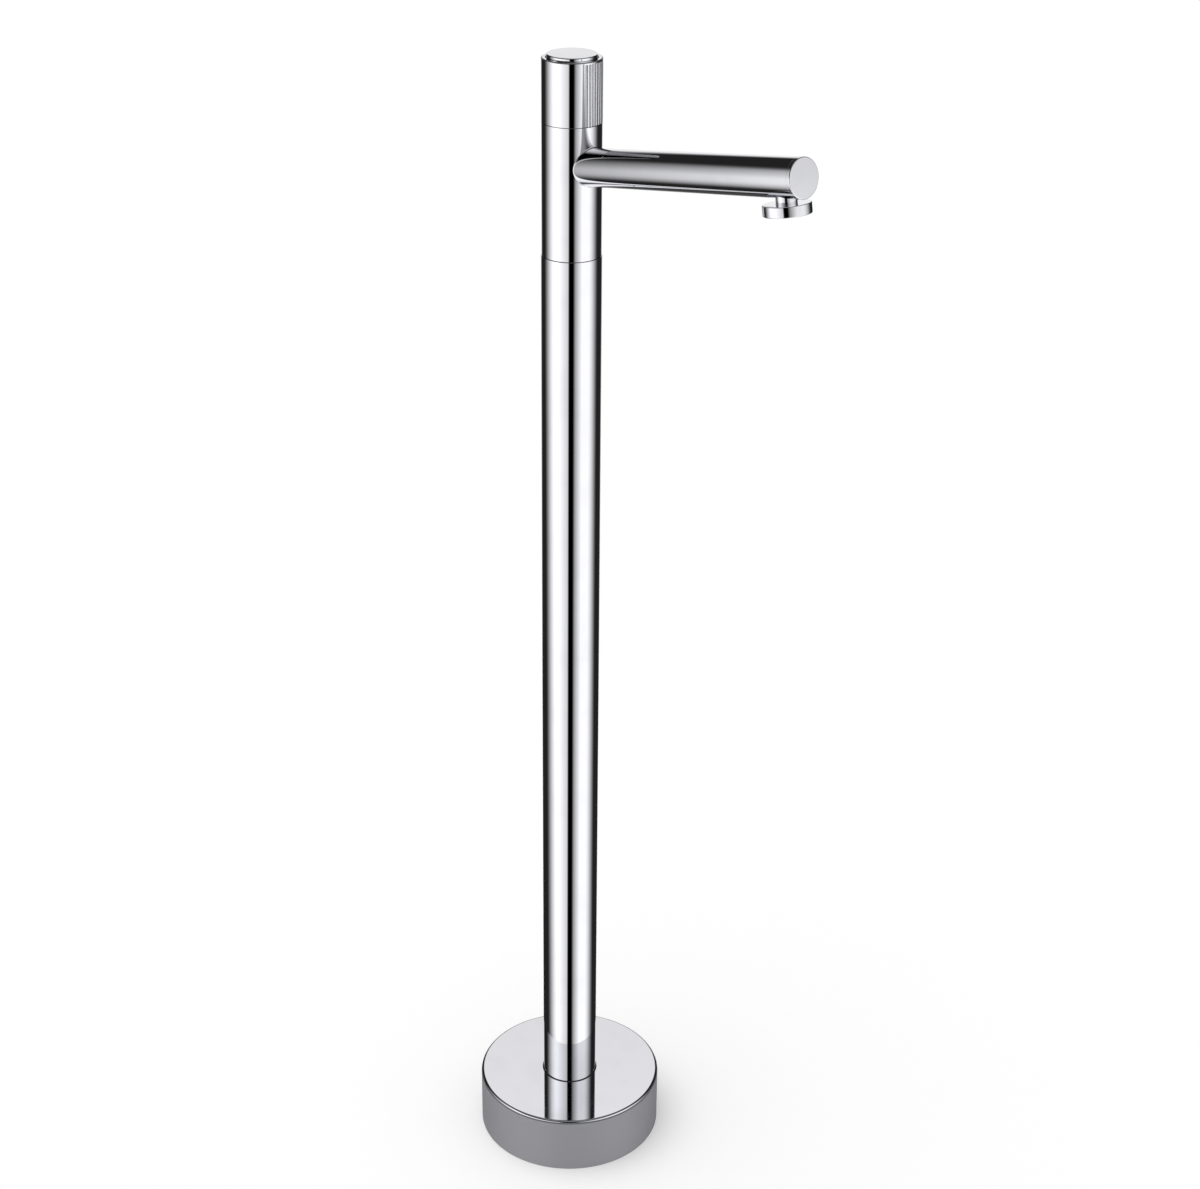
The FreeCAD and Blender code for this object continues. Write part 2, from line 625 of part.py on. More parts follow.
def knob_adapter():
    """Moulded hub between the knob and the spindle's splines."""
    hub_r, hub_foot = 9.0, 844.2
    disc_r, disc_foot = KNOB_CAVITY_R - 0.2, 845.2
    hub = turned([(SPINDLE_R, hub_foot), (hub_r, hub_foot), (hub_r, disc_foot), (disc_r, disc_foot),
                  (disc_r, KNOB_WEB_Z), (SPINDLE_R, KNOB_WEB_Z)])
    for k in range(4):
        angle = math.radians(90 * k + 30)
        hub = hub.cut(rod(3.4, 6.0, hub_foot, 13.5 * math.cos(angle), 13.5 * math.sin(angle)))
    return hub.cut(grub_screw_blank(1.95, KNOB_SCREW_ANGLE, KNOB_SCREW_Z, 13.0, 20.0))


def knob_grub_screw():
    """Socket-head grub screw that locks the knob to its hub."""
    screw = grub_screw_blank(1.9, KNOB_SCREW_ANGLE, KNOB_SCREW_Z, 16.5, BODY_R - 0.6)
    return screw.cut(grub_screw_blank(1.0, KNOB_SCREW_ANGLE, KNOB_SCREW_Z, BODY_R - 2.6, BODY_R))


def button_cap():
    """Flat round button, a shallow cup upside down, with a softly rounded edge."""
    cap = rod(CAP_R, CAP_TOP_Z - CAP_SKIRT_Z, CAP_SKIRT_Z)
    cap = cap.makeFillet(0.7, outer_edges(cap, CAP_R, CAP_TOP_Z))
    return cap.cut(rod(CAP_R - 1.5, CAP_INNER_Z - CAP_SKIRT_Z, CAP_SKIRT_Z))


def push_rod():
    """Steel rod from the button down through the spindle to the shut-off poppet."""
    foot_z = 795.0
    return rod(ROD_R, CAP_INNER_Z - foot_z, foot_z)


def shutoff_poppet():
    """Rubber-faced poppet that the rod moves off its seat under the outlet port."""
    return turned([(ROD_R, 794.2), (2.6, 794.2), (3.5, 795.2), (3.5, 797.9), (ROD_R, 797.9)])


def button_spring():
    """Coil spring of round wire that lifts the button."""
    wire_r = 0.4
    coil_r = 7.0
    turns = 4.5
    end_gap = 0.05
    foot_z = KNOB_FLOOR_Z + wire_r + end_gap
    height = CAP_INNER_Z - KNOB_FLOOR_Z - 2 * (wire_r + end_gap)
    section = Part.Wire(Part.makeCircle(wire_r, Vec(coil_r, 0, foot_z), Vec(0, 1, 0)))
    print("spring: clear gap between turns", round(height / turns - 2 * wire_r, 2), "mm")
    return coil_path(coil_r, height, turns, foot_z).makePipeShell([section], True)


PIECES = {
    "base_cover": base_cover,
    "foot_ring": foot_ring,
    "floor_flange": floor_flange,
    "flange_grub_screws": flange_grub_screws,
    "inlet_plate": inlet_plate,
    "inlet_plate_screws": inlet_plate_screws,
    "hot_inlet_union": lambda: inlet_union(1),
    "cold_inlet_union": lambda: inlet_union(-1),
    "hot_supply_hose": lambda: supply_hose(1),
    "cold_supply_hose": lambda: supply_hose(-1),
    "hose_ferrules": hose_ferrules,
    "hose_studs": hose_studs,
    "column_pipe": column_pipe,
    "valve_core": valve_core,
    "core_seal": core_seal,
    "swivel_seals": swivel_seals,
    "swivel_stop_pin": swivel_stop_pin,
    "lower_slip_ring": lower_slip_ring,
    "upper_slip_ring": upper_slip_ring,
    "cartridge_base_seal": cartridge_base_seal,
    "cartridge_housing": cartridge_housing,
    "fixed_disc": fixed_disc,
    "moving_disc": moving_disc,
    "spindle": spindle,
    "spindle_seal": spindle_seal,
    "cartridge_nut": cartridge_nut,
    "spout_body": spout_body,
    "spout_end_cap": spout_end_cap,
    "outlet_neck": outlet_neck,
    "outlet_housing": outlet_housing,
    "outlet_seal": outlet_seal,
    "flow_straightener": flow_straightener,
    "knob": knob,
    "knob_adapter": knob_adapter,
    "knob_grub_screw": knob_grub_screw,
    "button_cap": button_cap,
    "push_rod": push_rod,
    "shutoff_poppet": shutoff_poppet,
    "button_spring": button_spring,
}

os.makedirs("parts", exist_ok=True)
for name, make in PIECES.items():
    shape = make()
    if not shape.isValid():
        print("not valid:", name)
    print(f"{name:24s} solids {len(shape.Solids)}  volume {shape.Volume / 1000:9.3f} cm3")
    shape.exportStep("parts/" + name + ".step")
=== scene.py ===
# %% [markdown]
# # A floor standing bath filler in polished chrome
#
# The object is a tap that stands on the floor beside a bath: a round base, a slim column, a
# spout that swivels, and a mixing knob with a push button on top. This lesson gives its CAD
# frame the looks of the real thing. The frame already has every piece at its real size and
# place, so nothing is moved here. Sizes are read from the frame wherever it can give them.

# %% Load the frame
import json
import math

import bpy
import numpy as np
from mathutils import Matrix, Vector


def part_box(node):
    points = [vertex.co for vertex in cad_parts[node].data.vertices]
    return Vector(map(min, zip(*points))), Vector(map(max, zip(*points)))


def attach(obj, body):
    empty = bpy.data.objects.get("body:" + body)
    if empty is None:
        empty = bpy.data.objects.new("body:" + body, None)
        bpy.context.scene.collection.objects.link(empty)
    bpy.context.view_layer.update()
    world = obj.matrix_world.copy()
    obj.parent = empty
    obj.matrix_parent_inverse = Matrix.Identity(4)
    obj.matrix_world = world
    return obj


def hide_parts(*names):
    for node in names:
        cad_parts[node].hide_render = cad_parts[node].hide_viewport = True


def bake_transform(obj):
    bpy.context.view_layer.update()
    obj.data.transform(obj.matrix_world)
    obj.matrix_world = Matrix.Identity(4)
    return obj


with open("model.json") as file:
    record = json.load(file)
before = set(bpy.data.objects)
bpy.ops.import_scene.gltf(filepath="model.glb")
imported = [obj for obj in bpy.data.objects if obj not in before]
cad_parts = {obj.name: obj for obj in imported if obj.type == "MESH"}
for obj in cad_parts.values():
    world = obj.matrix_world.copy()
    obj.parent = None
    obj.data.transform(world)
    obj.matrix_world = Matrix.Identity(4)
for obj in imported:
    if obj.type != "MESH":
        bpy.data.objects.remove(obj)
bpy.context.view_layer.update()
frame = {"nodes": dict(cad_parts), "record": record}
nodes = frame["nodes"]
MM = 0.001
bpy.context.scene.view_settings.view_transform = "Standard"


def half_width(node):
    """Radius of a round node, in metres."""
    low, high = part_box(node)
    return (high.y - low.y) / 2


def foot_and_top(node):
    """Lowest and highest point of a node, in metres."""
    low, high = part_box(node)
    return low.z, high.z


def shown(name, data):
    """Put a mesh, a lamp or a camera in the scene as an object."""
    thing = bpy.data.objects.new(name, data)
    bpy.context.scene.collection.objects.link(thing)
    return thing


# %% [markdown]
# ## The camera
#
# The photograph was taken from above the tap's own height, looking down, with the spout
# pointing right and towards the viewer. The numbers below came from matching the base, the
# hairlines and the spout with a pinhole camera. The camera is turned in three plain steps:
# around the column, then down, then a little about its own line of sight.

# %% The camera
PHOTO_WIDTH = 1200
FOCAL_PIXELS = 2242
CAMERA_AZIMUTH = math.radians(48.76)
CAMERA_DISTANCE = 1.4775
CAMERA_HEIGHT = 1.1878
CAMERA_DIP = math.radians(25.82)
CAMERA_TURN = math.radians(0.83)
CAMERA_ROLL = math.radians(0.50)

lens = bpy.data.cameras.new("photo_camera")
lens.sensor_width = 36
lens.lens = lens.sensor_width * FOCAL_PIXELS / PHOTO_WIDTH
lens.clip_end = 50
camera = shown("photo_camera", lens)
around = Matrix.Rotation(CAMERA_AZIMUTH - CAMERA_TURN, 4, "Z")
downward = Matrix.Rotation(math.pi / 2 - CAMERA_DIP, 4, "X")
rolled = Matrix.Rotation(CAMERA_ROLL, 4, "Z")
camera.matrix_world = around @ downward @ rolled
camera.location = (CAMERA_DISTANCE * math.sin(CAMERA_AZIMUTH),
                   -CAMERA_DISTANCE * math.cos(CAMERA_AZIMUTH), CAMERA_HEIGHT)
bpy.context.scene.camera = camera
print("camera lens:", round(lens.lens, 2), "mm")

# %% [markdown]
# ## Building node trees
#
# Looks and repeated shapes are both made of node trees. A few helpers say in one line what a
# node is, what goes into it, and what comes out.

# %% Building node trees


def link(tree, source, target):
    """Join two sockets of a node tree."""
    tree.links.new(source, target)


def add(tree, kind, **settings):
    """Add a node, set its properties, and return it."""
    node = tree.nodes.new(kind)
    for name, value in settings.items():
        setattr(node, name, value)
    return node


def give(tree, node, **inputs):
    """Give inputs of a node a link or a value; their names have "_" for a space."""
    for label, value in inputs.items():
        socket = node.inputs[label.replace("_", " ")]
        if isinstance(value, bpy.types.NodeSocket):
            link(tree, value, socket)
        else:
            socket.default_value = value
    return node


def feed(tree, kind, settings=None, **inputs):
    """Add a node and give it its inputs."""
    return give(tree, add(tree, kind, **(settings or {})), **inputs)


def calc(tree, a, b, operation="ADD"):
    """A Math node on two sockets or numbers; returns its output."""
    node = add(tree, "ShaderNodeMath", operation=operation)
    for socket, value in zip(node.inputs, (a, b)):
        if isinstance(value, (int, float)):
            socket.default_value = value
        else:
            link(tree, value, socket)
    return node.outputs[0]


def product(tree, *factors):
    """Sockets and numbers, multiplied."""
    total = factors[0]
    for factor in factors[1:]:
        total = calc(tree, total, factor, "MULTIPLY")
    return total


def radius_of(tree, x, y):
    """Distance from the Z axis."""
    return calc(tree, calc(tree, product(tree, x, x), product(tree, y, y)), 0.5, "POWER")


def split(tree, place):
    """The X, Y and Z of a place."""
    return feed(tree, "ShaderNodeSeparateXYZ", Vector=place).outputs


def ramp(tree, value, start, end, kind="SMOOTHSTEP"):
    """0 before start, 1 after end; start may be larger than end, for a falling ramp."""
    low, high = sorted((start, end))
    rises = float(start < end)
    return feed(tree, "ShaderNodeMapRange", {"interpolation_type": kind}, Value=value,
                From_Min=low, From_Max=high, To_Min=1 - rises, To_Max=rises).outputs[0]


def between(tree, value, low, high, start=0.0, end=1.0):
    """A number that runs evenly from low to high as the value runs from start to end."""
    return feed(tree, "ShaderNodeMapRange", Value=value, From_Min=start, From_Max=end,
                To_Min=low, To_Max=high).outputs[0]


def mixed(tree, mask, low, high, kind="RGBA"):
    """From low to high as the mask runs from 0 to 1; each is a colour or a socket."""
    low, high = ((*end, 1) if isinstance(end, tuple) else end for end in (low, high))
    return feed(tree, "ShaderNodeMix", {"data_type": kind}, Factor=mask, A=low,
                B=high).outputs["Result"]


# %% [markdown]
# ## The world and the lamps
#
# Polished chrome has no colour of its own: it shows what stands around it. The room here is
# plain white to the eye and to the chrome, by Light Path, while the light that falls on
# things stays at a plain level. One very broad lamp from above gives the floor its shadow.

# %% World and lamps
AMBIENT = 0.62
SUN_STRENGTH = 1.15
SUN_SPREAD = math.radians(60)
SUN_LEAN = (math.radians(14), math.radians(-10), 0)
WHITE = (1, 1, 1, 1)

world = bpy.data.worlds.new("white_room")
bpy.context.scene.world = world
world.use_nodes = True
tree = world.node_tree
path = add(tree, "ShaderNodeLightPath").outputs
looked_at = calc(tree, path["Is Camera Ray"], path["Is Glossy Ray"], "MAXIMUM")
looked_at = calc(tree, looked_at, path["Is Transmission Ray"], "MAXIMUM")
give(tree, tree.nodes["Background"], Color=WHITE,
     Strength=between(tree, looked_at, AMBIENT, 1.0))

sun_data = bpy.data.lights.new("studio_sky", "SUN")
sun_data.energy = SUN_STRENGTH
sun_data.angle = SUN_SPREAD
sun = shown("studio_sky", sun_data)
sun.rotation_euler = SUN_LEAN
sun.visible_glossy = False
print("ambient light", AMBIENT, "and a soft lamp from above")

# %% [markdown]
# ## The floor
#
# A wide pale floor, which keeps the tap's soft shadow. The eye sees it a little brighter than
# the lamps make it, by Light Path, so that it runs into the white room without a horizon. It
# is left out of the chrome's reflections, where the light tent takes its place.

# %% Floor
FLOOR_HALF = 9.0
FLOOR_LIFT = 0.10
FLOOR_TONE = (0.94, 0.94, 0.94, 1)
corners = [(-FLOOR_HALF, -FLOOR_HALF, 0), (FLOOR_HALF, -FLOOR_HALF, 0),
           (FLOOR_HALF, FLOOR_HALF, 0), (-FLOOR_HALF, FLOOR_HALF, 0)]
floor_mesh = bpy.data.meshes.new("floor")
floor_mesh.from_pydata(corners, [], [(0, 1, 2, 3)])
floor = shown("floor", floor_mesh)
floor_finish = bpy.data.materials.new("pale_floor")
floor_finish.use_nodes = True
tree = floor_finish.node_tree
seen = add(tree, "ShaderNodeLightPath").outputs["Is Camera Ray"]
give(tree, tree.nodes["Principled BSDF"], Base_Color=FLOOR_TONE, Roughness=0.9,
     Specular_IOR_Level=0.0, Emission_Color=WHITE,
     Emission_Strength=product(tree, seen, FLOOR_LIFT))
floor_mesh.materials.append(floor_finish)
floor.visible_glossy = False
print("floor:", 2 * FLOOR_HALF, "m across")

# %% [markdown]
# ## The light tent
#
# Photographers put chrome inside a tent of white cloth and leave gaps where they want dark
# lines. This tap has one black line down the middle, where the tent is open for the lens, and
# dark edges, where there is no cloth at both sides. The tent is a drum with a dim roof that
# only the reflections see. Its glow depends on the direction round the drum, measured from
# the lens, and on the height: there is a wide bright panel on each side, with soft ends, and
# a third behind the tap, which the level faces mirror. The panels end at different heights,
# and those ends give the spout its dark upper edge. The tent stays where it is when the tap
# is seen from another side.

# %% Light tent
TENT_RADIUS = 1.0
TENT_FOOT = -2.2
TENT_TOP = 1.9
TENT_SIDES = 96
PANEL_GLOW = 1.18

# A side panel has a soft outer end, a slope towards the opening and a sharp inner edge. Each is
# given as two directions, in degrees from the lens: where it is dark and where it is full.
LEFT_PANEL = ((-121.5, -60), (38, -55), (-8, -14))
RIGHT_PANEL = ((115, 64), (3, 40), (5, 15))
BACK_PANEL = (149, 166)      # it has soft ends only, the same to the left and to the right

# The upper ends, as two heights in metres: where a panel is dark and where it is full.
LEFT_PANEL_TOP = (1.65, 1.25)
RIGHT_PANEL_TOP = (1.75, 1.00)
BACK_PANEL_TOP = (1.40, 1.0)

# Even changes with height: the glow at two heights, then those heights in metres.
LEFT_PANEL_DIM = (1.0, 0.84, 0.70, 1.00)
RIGHT_PANEL_DIM = (1.0, 0.78, 0.68, 0.82)
BACK_PANEL_DIM = (0.90, 0.97, 0.75, 1.0)
BACK_PANEL_FOOT = (0.05, 1.0, -0.10, 0.60)

LEFT_PANEL_GAIN = 1.15
LEFT_PANEL_LEAN = 13         # degrees per metre by which its outer end comes forward low down
LEFT_LEAN_FROM = 0.3         # below this height, in metres
NOTCH_HEIGHTS = (0.85, 1.10)     # high up, the left panel's front part is taken away,
NOTCH_DIRECTIONS = (-88, -62)    # more and more over these heights and directions

ROOF_GLOW = (0.30, 0.08)     # in its middle and at its rim
ROOF_BAND = 0.01             # what lies this close under the top counts as roof
DARK_CLOTH = 0.018           # the faint glow where no panel stands,
DARK_CLOTH_FROM = (40, 95)   # which fades in over these directions on both sides

tent_finish = bpy.data.materials.new("tent_cloth")
tent_finish.use_nodes = True
tree = tent_finish.node_tree
tree.nodes.clear()
across_x, across_y, height = split(tree, add(tree, "ShaderNodeTexCoord").outputs["Object"])
degrees = product(tree, calc(tree, across_y, across_x, "ARCTAN2"), 180 / math.pi)


def panel(outer_value, outer_end, slope, inner_edge):
    """Glow of one side panel: the product of its outer end, its slope and its inner edge."""
    return product(tree, ramp(tree, outer_value, *outer_end),
                   ramp(tree, degrees, *slope, "LINEAR"), ramp(tree, degrees, *inner_edge))


below = calc(tree, calc(tree, LEFT_LEAN_FROM, height, "SUBTRACT"), 0, "MAXIMUM")
leaning = calc(tree, degrees, product(tree, below, LEFT_PANEL_LEAN), "SUBTRACT")
notch = product(tree, ramp(tree, height, *NOTCH_HEIGHTS), ramp(tree, degrees, *NOTCH_DIRECTIONS))
left = product(tree, panel(leaning, *LEFT_PANEL), LEFT_PANEL_GAIN,
               between(tree, height, *LEFT_PANEL_DIM), calc(tree, 1, notch, "SUBTRACT"),
               ramp(tree, height, *LEFT_PANEL_TOP))
right = product(tree, panel(degrees, *RIGHT_PANEL), ramp(tree, height, *RIGHT_PANEL_TOP),
                between(tree, height, *RIGHT_PANEL_DIM))
aside = calc(tree, degrees, 0, "ABSOLUTE")
behind = product(tree, ramp(tree, aside, *BACK_PANEL), ramp(tree, height, *BACK_PANEL_TOP),
                 between(tree, height, *BACK_PANEL_FOOT), between(tree, height, *BACK_PANEL_DIM))
roof = product(tree, between(tree, radius_of(tree, across_x, across_y), *ROOF_GLOW),
               calc(tree, height, TENT_TOP - ROOF_BAND, "GREATER_THAN"))
dark = product(tree, ramp(tree, aside, *DARK_CLOTH_FROM), DARK_CLOTH)
glow = product(tree, calc(tree, left, right), PANEL_GLOW)
for part in (behind, dark, roof):
    glow = calc(tree, glow, part)
cloth = feed(tree, "ShaderNodeEmission", Strength=glow)
feed(tree, "ShaderNodeOutputMaterial", Surface=cloth.outputs[0])

tent_mesh = bpy.data.meshes.new("light_tent")
ring = [(TENT_RADIUS * math.cos(t), TENT_RADIUS * math.sin(t))
        for t in np.linspace(0, 2 * math.pi, TENT_SIDES, endpoint=False)]
points = [(x, y, z) for z in (TENT_FOOT, TENT_TOP) for x, y in ring]
walls = [(k, (k + 1) % TENT_SIDES, TENT_SIDES + (k + 1) % TENT_SIDES, TENT_SIDES + k)
         for k in range(TENT_SIDES)]
lid = tuple(range(TENT_SIDES, 2 * TENT_SIDES))
tent_mesh.from_pydata(points, [], walls + [lid])
tent_mesh.materials.append(tent_finish)
tent = shown("light_tent", tent_mesh)
tent.rotation_euler.z = CAMERA_AZIMUTH - math.pi / 2
for ray in ("camera", "diffuse", "transmission", "volume_scatter", "shadow"):
    setattr(tent, "visible_" + ray, False)
print("tent:", len(walls), "walls of cloth")

# %% [markdown]
# ## Shared effects
#
# Three small node groups are used by several finishes. Each puts out only masks, tones or
# heights, which the materials feed to roughness, colour or bump:
# fine marks (the faint haze and hairlines that even new plating has), turning lines (the
# rings that a lathe or a polishing wheel leaves), and a pebbled skin (castings and moulded
# rubber).

# %% Effect groups
HAZE_BAND = (0.45, 0.75)         # where haze sets in and is full, as values of its noise
HAIRLINE_BAND = (0.66, 0.72)     # the same for hairlines: only the noise's peaks show
HAIRLINE_TURN = (0.4, 0.9, 0.2)  # their slant, so that they follow no axis
HAIRLINE_STRETCH = (1.0, 1.0, 0.03)


def new_group(name, inputs, outputs):
    """An empty shader group with named number inputs and outputs, plus a Vector input."""
    group = bpy.data.node_groups.new(name, "ShaderNodeTree")
    group.interface.new_socket("Vector", in_out="INPUT", socket_type="NodeSocketVector")
    for label, value in inputs.items():
        socket = group.interface.new_socket(label, in_out="INPUT", socket_type="NodeSocketFloat")
        socket.default_value = value
    for label in outputs:
        group.interface.new_socket(label, in_out="OUTPUT", socket_type="NodeSocketFloat")
    return group, add(group, "NodeGroupInput").outputs, add(group, "NodeGroupOutput")


def noise(tree, vector, scale, detail=3.0, rough=0.5, dimensions="3D"):
    """A Noise texture's value, 0 to 1."""
    return feed(tree, "ShaderNodeTexNoise", {"noise_dimensions": dimensions}, Vector=vector,
                Scale=scale, Detail=detail, Roughness=rough).outputs[0]


def fine_marks_group():
    """Haze: broad faint patches. Hairlines: sparse short scratches."""
    group, given, result = new_group("fine_marks", {"Haze Scale": 40.0, "Hairline Scale": 900.0},
                                     ("Haze", "Hairlines"))
    haze = noise(group, given["Vector"], given["Haze Scale"], 4.0)
    stretch = feed(group, "ShaderNodeMapping", Vector=given["Vector"], Rotation=HAIRLINE_TURN,
                   Scale=HAIRLINE_STRETCH)
    lines = noise(group, stretch.outputs[0], given["Hairline Scale"], 2.0, 0.7)
    give(group, result, Haze=ramp(group, haze, *HAZE_BAND),
         Hairlines=ramp(group, lines, *HAIRLINE_BAND))
    return group


def turning_lines_group():
    """Rings about the Z axis, as a lathe leaves: they depend on radius and height alone."""
    group, given, result = new_group("turning_lines", {"Fineness": 2500.0}, ("Rings", "Drift"))
    x, y, z = split(group, given["Vector"])
    joined = feed(group, "ShaderNodeCombineXYZ", X=radius_of(group, x, y), Y=z)
    give(group, result, Drift=noise(group, given["Vector"], 25.0, 2.0),
         Rings=noise(group, joined.outputs[0], given["Fineness"], 2.0, 0.6, "2D"))
    return group


def pebbled_skin_group():
    """Small bumps for castings and moulded rubber."""
    group, given, result = new_group("pebbled_skin", {"Grain": 700.0}, ("Bumps", "Patches"))
    give(group, result, Bumps=noise(group, given["Vector"], given["Grain"], 3.0),
         Patches=noise(group, given["Vector"], 60.0, 3.0))
    return group


fine_marks = fine_marks_group()
turning_lines = turning_lines_group()
pebbled_skin = pebbled_skin_group()
print("effect groups:", fine_marks.name, turning_lines.name, pebbled_skin.name)

# %% [markdown]
# ## The finishes
#
# Each finish is one material with its own Principled shader. A number that is the same all
# over is set on the shader. What changes over the surface, such as roughness under a patch of
# haze, comes from the groups above.

# %% Finishes


def start_finish(name, metallic=0.0, **fixed):
    """A material with its shader's plain numbers set; returns tree, shader and coordinates."""
    material = bpy.data.materials.new(name)
    material.use_nodes = True
    tree = material.node_tree
    shader = give(tree, tree.nodes["Principled BSDF"], Metallic=metallic, **fixed)
    return material, tree, shader, add(tree, "ShaderNodeTexCoord").outputs["Object"]


def effect(tree, group, where, **values):
    """Place an effect group in a material; returns its outputs."""
    return feed(tree, "ShaderNodeGroup", {"node_tree": group}, Vector=where, **values).outputs


def bump(tree, height, depth, strength):
    """A normal from a relief: its height, 0 to 1, and its depth in metres."""
    return feed(tree, "ShaderNodeBump", Strength=strength, Distance=depth,
                Height=height).outputs[0]


CHROME = (0.838, 0.84, 0.872)
CHROME_HAZED = (0.80, 0.802, 0.834)
CHROME_ROUGH = (0.025, 0.045)        # clear and hazed
HAIRLINE_ROUGH = (0.0, 0.05)
# Painted shade: the plating in the grooves is given a darker colour; only its roughness is the
# finish.
GROOVE_SHADED_CHROME = (0.66, 0.662, 0.69)
GROOVE_ROUGH = (0.0, 0.34)
GROOVE_FROM = (0.02 * MM, 0.12 * MM) # inside the wall: where the groove's look starts, is full
WALL_DEPTH = 0.8 * MM                # deeper than this it is the knob's inside, not a groove


def polished_chrome():
    """Mirror plating: almost no roughness, a trace of haze and hairlines."""
    material, tree, shader, where = start_finish("polished_chrome", 1.0)
    marks = effect(tree, fine_marks, where)
    give(tree, shader, Base_Color=mixed(tree, marks["Haze"], CHROME, CHROME_HAZED),
         Roughness=calc(tree, between(tree, marks["Haze"], *CHROME_ROUGH),
                        between(tree, marks["Hairlines"], *HAIRLINE_ROUGH)))
    return material


def fluted_chrome():
    """The knob's plating: as above, but the wheel doesn't reach the grooves, which stay softer, and
    their colour is darkened as painted shade.
    """
    material, tree, shader, where = start_finish("fluted_chrome", 1.0)
    marks = effect(tree, fine_marks, where)
    radius = radius_of(tree, *split(tree, where)[:2])
    wall = half_width("knob")
    groove = product(tree, ramp(tree, radius, *(wall - depth for depth in GROOVE_FROM)),
                     calc(tree, radius, wall - WALL_DEPTH, "GREATER_THAN"))
    plating = mixed(tree, marks["Haze"], CHROME, CHROME_HAZED)
    # Painted shade: the grooves' colour is darkened here.
    give(tree, shader, Base_Color=mixed(tree, groove, plating, GROOVE_SHADED_CHROME),
         Roughness=calc(tree, between(tree, marks["Haze"], *CHROME_ROUGH),
                        between(tree, groove, *GROOVE_ROUGH)))
    return material


base_top = foot_and_top("base_cover")[1]
BASE_MIRROR = (0.78, 0.78, 0.81)
BASE_HAZED = (0.75, 0.75, 0.78)
SATIN_GREY = (0.388, 0.388, 0.412)
SATIN_DARK = (0.33, 0.33, 0.351)
# Painted shade: a dark band along the satin's top edge, just below the mirror.
PAINTED_EDGE_SHADE = (0.15, 0.15, 0.16)
MIRROR_ROUGH = (0.04, 0.06)
SATIN_ROUGH = (0.60, 0.75)
SATIN_METAL = 0.4            # the satin scatters much light inside its fine grooves
SATIN_FROM = (1.0, 1.3)      # below the top, in mm: where the mirror ends and the satin starts
EDGE_SHADE_TO = (2.1, 2.6)    # painted shade darkens the satin's top edge down to here


def satin_and_mirror():
    """The base cover: a mirror on top, and grey satin round the side, darkened near its top edge as
    painted shade.
    """
    material, tree, shader, where = start_finish("satin_and_mirror")
    level = split(tree, where)["Z"]
    on_side, plain = (ramp(tree, level, *(base_top - drop * MM for drop in drops))
                      for drops in (SATIN_FROM, EDGE_SHADE_TO))
    marks = effect(tree, fine_marks, where)
    rings = effect(tree, turning_lines, where, Fineness=4000.0)
    mirror = mixed(tree, marks["Haze"], BASE_MIRROR, BASE_HAZED)
    satin = mixed(tree, rings["Rings"], SATIN_DARK, SATIN_GREY)
    # Painted shade: the satin's colour turns dark towards its top edge.
    satin = mixed(tree, plain, PAINTED_EDGE_SHADE, satin)
    rough = mixed(tree, on_side, between(tree, marks["Haze"], *MIRROR_ROUGH),
                  between(tree, rings["Rings"], *SATIN_ROUGH), "FLOAT")
    give(tree, shader, Base_Color=mixed(tree, on_side, mirror, satin), Roughness=rough,
         Metallic=between(tree, on_side, 1.0, SATIN_METAL),
         Normal=bump(tree, product(tree, rings["Rings"], on_side), 0.01 * MM, 0.25))
    return material


def turned_metal(name, dark, light, rough, fineness):
    """Brass or steel as it comes off the lathe."""
    material, tree, shader, where = start_finish(name, 1.0)
    rings = effect(tree, turning_lines, where, Fineness=fineness)
    give(tree, shader, Base_Color=mixed(tree, rings["Drift"], dark, light),
         Roughness=between(tree, rings["Rings"], *rough),
         Normal=bump(tree, rings["Rings"], 0.02 * MM, 0.3))
    return material


def pebbled(name, dark, light, rough, grain, depth, **fixed):
    """Cast, painted or moulded surfaces with a fine skin; its depth is in mm."""
    material, tree, shader, where = start_finish(name, 0.0, **fixed)
    skin = effect(tree, pebbled_skin, where, Grain=grain)
    give(tree, shader, Base_Color=mixed(tree, skin["Patches"], dark, light),
         Roughness=between(tree, skin["Bumps"], *rough),
         Normal=bump(tree, skin["Bumps"], depth * MM, 0.5))
    return material


# Painted shade: the wires that lie under are the same steel, given a darker colour.
WIRE_UNDER_SHADED, WIRE_OVER = (0.30, 0.30, 0.31), (0.66, 0.66, 0.67)
WIRE_ROUGH = (0.25, 0.5)
WIRE_SLANT = (0.0, 0.6, 0.785)


def braided_steel():
    """Stainless braid over rubber: two sets of slanting wires, light where one lies on top and
    darkened as painted shade where it lies under.
    """
    material, tree, shader, where = start_finish("braided_steel", 1.0)
    slant = feed(tree, "ShaderNodeMapping", Vector=where, Rotation=WIRE_SLANT)
    weave = feed(tree, "ShaderNodeTexChecker", Vector=slant.outputs[0], Scale=700.0)
    weave = weave.outputs["Fac"]
    skin = effect(tree, pebbled_skin, where, Grain=1500.0)
    give(tree, shader, Base_Color=mixed(tree, weave, WIRE_UNDER_SHADED, WIRE_OVER),
         Roughness=between(tree, skin["Bumps"], *WIRE_ROUGH),
         Normal=bump(tree, weave, 0.15 * MM, 0.6))
    return material


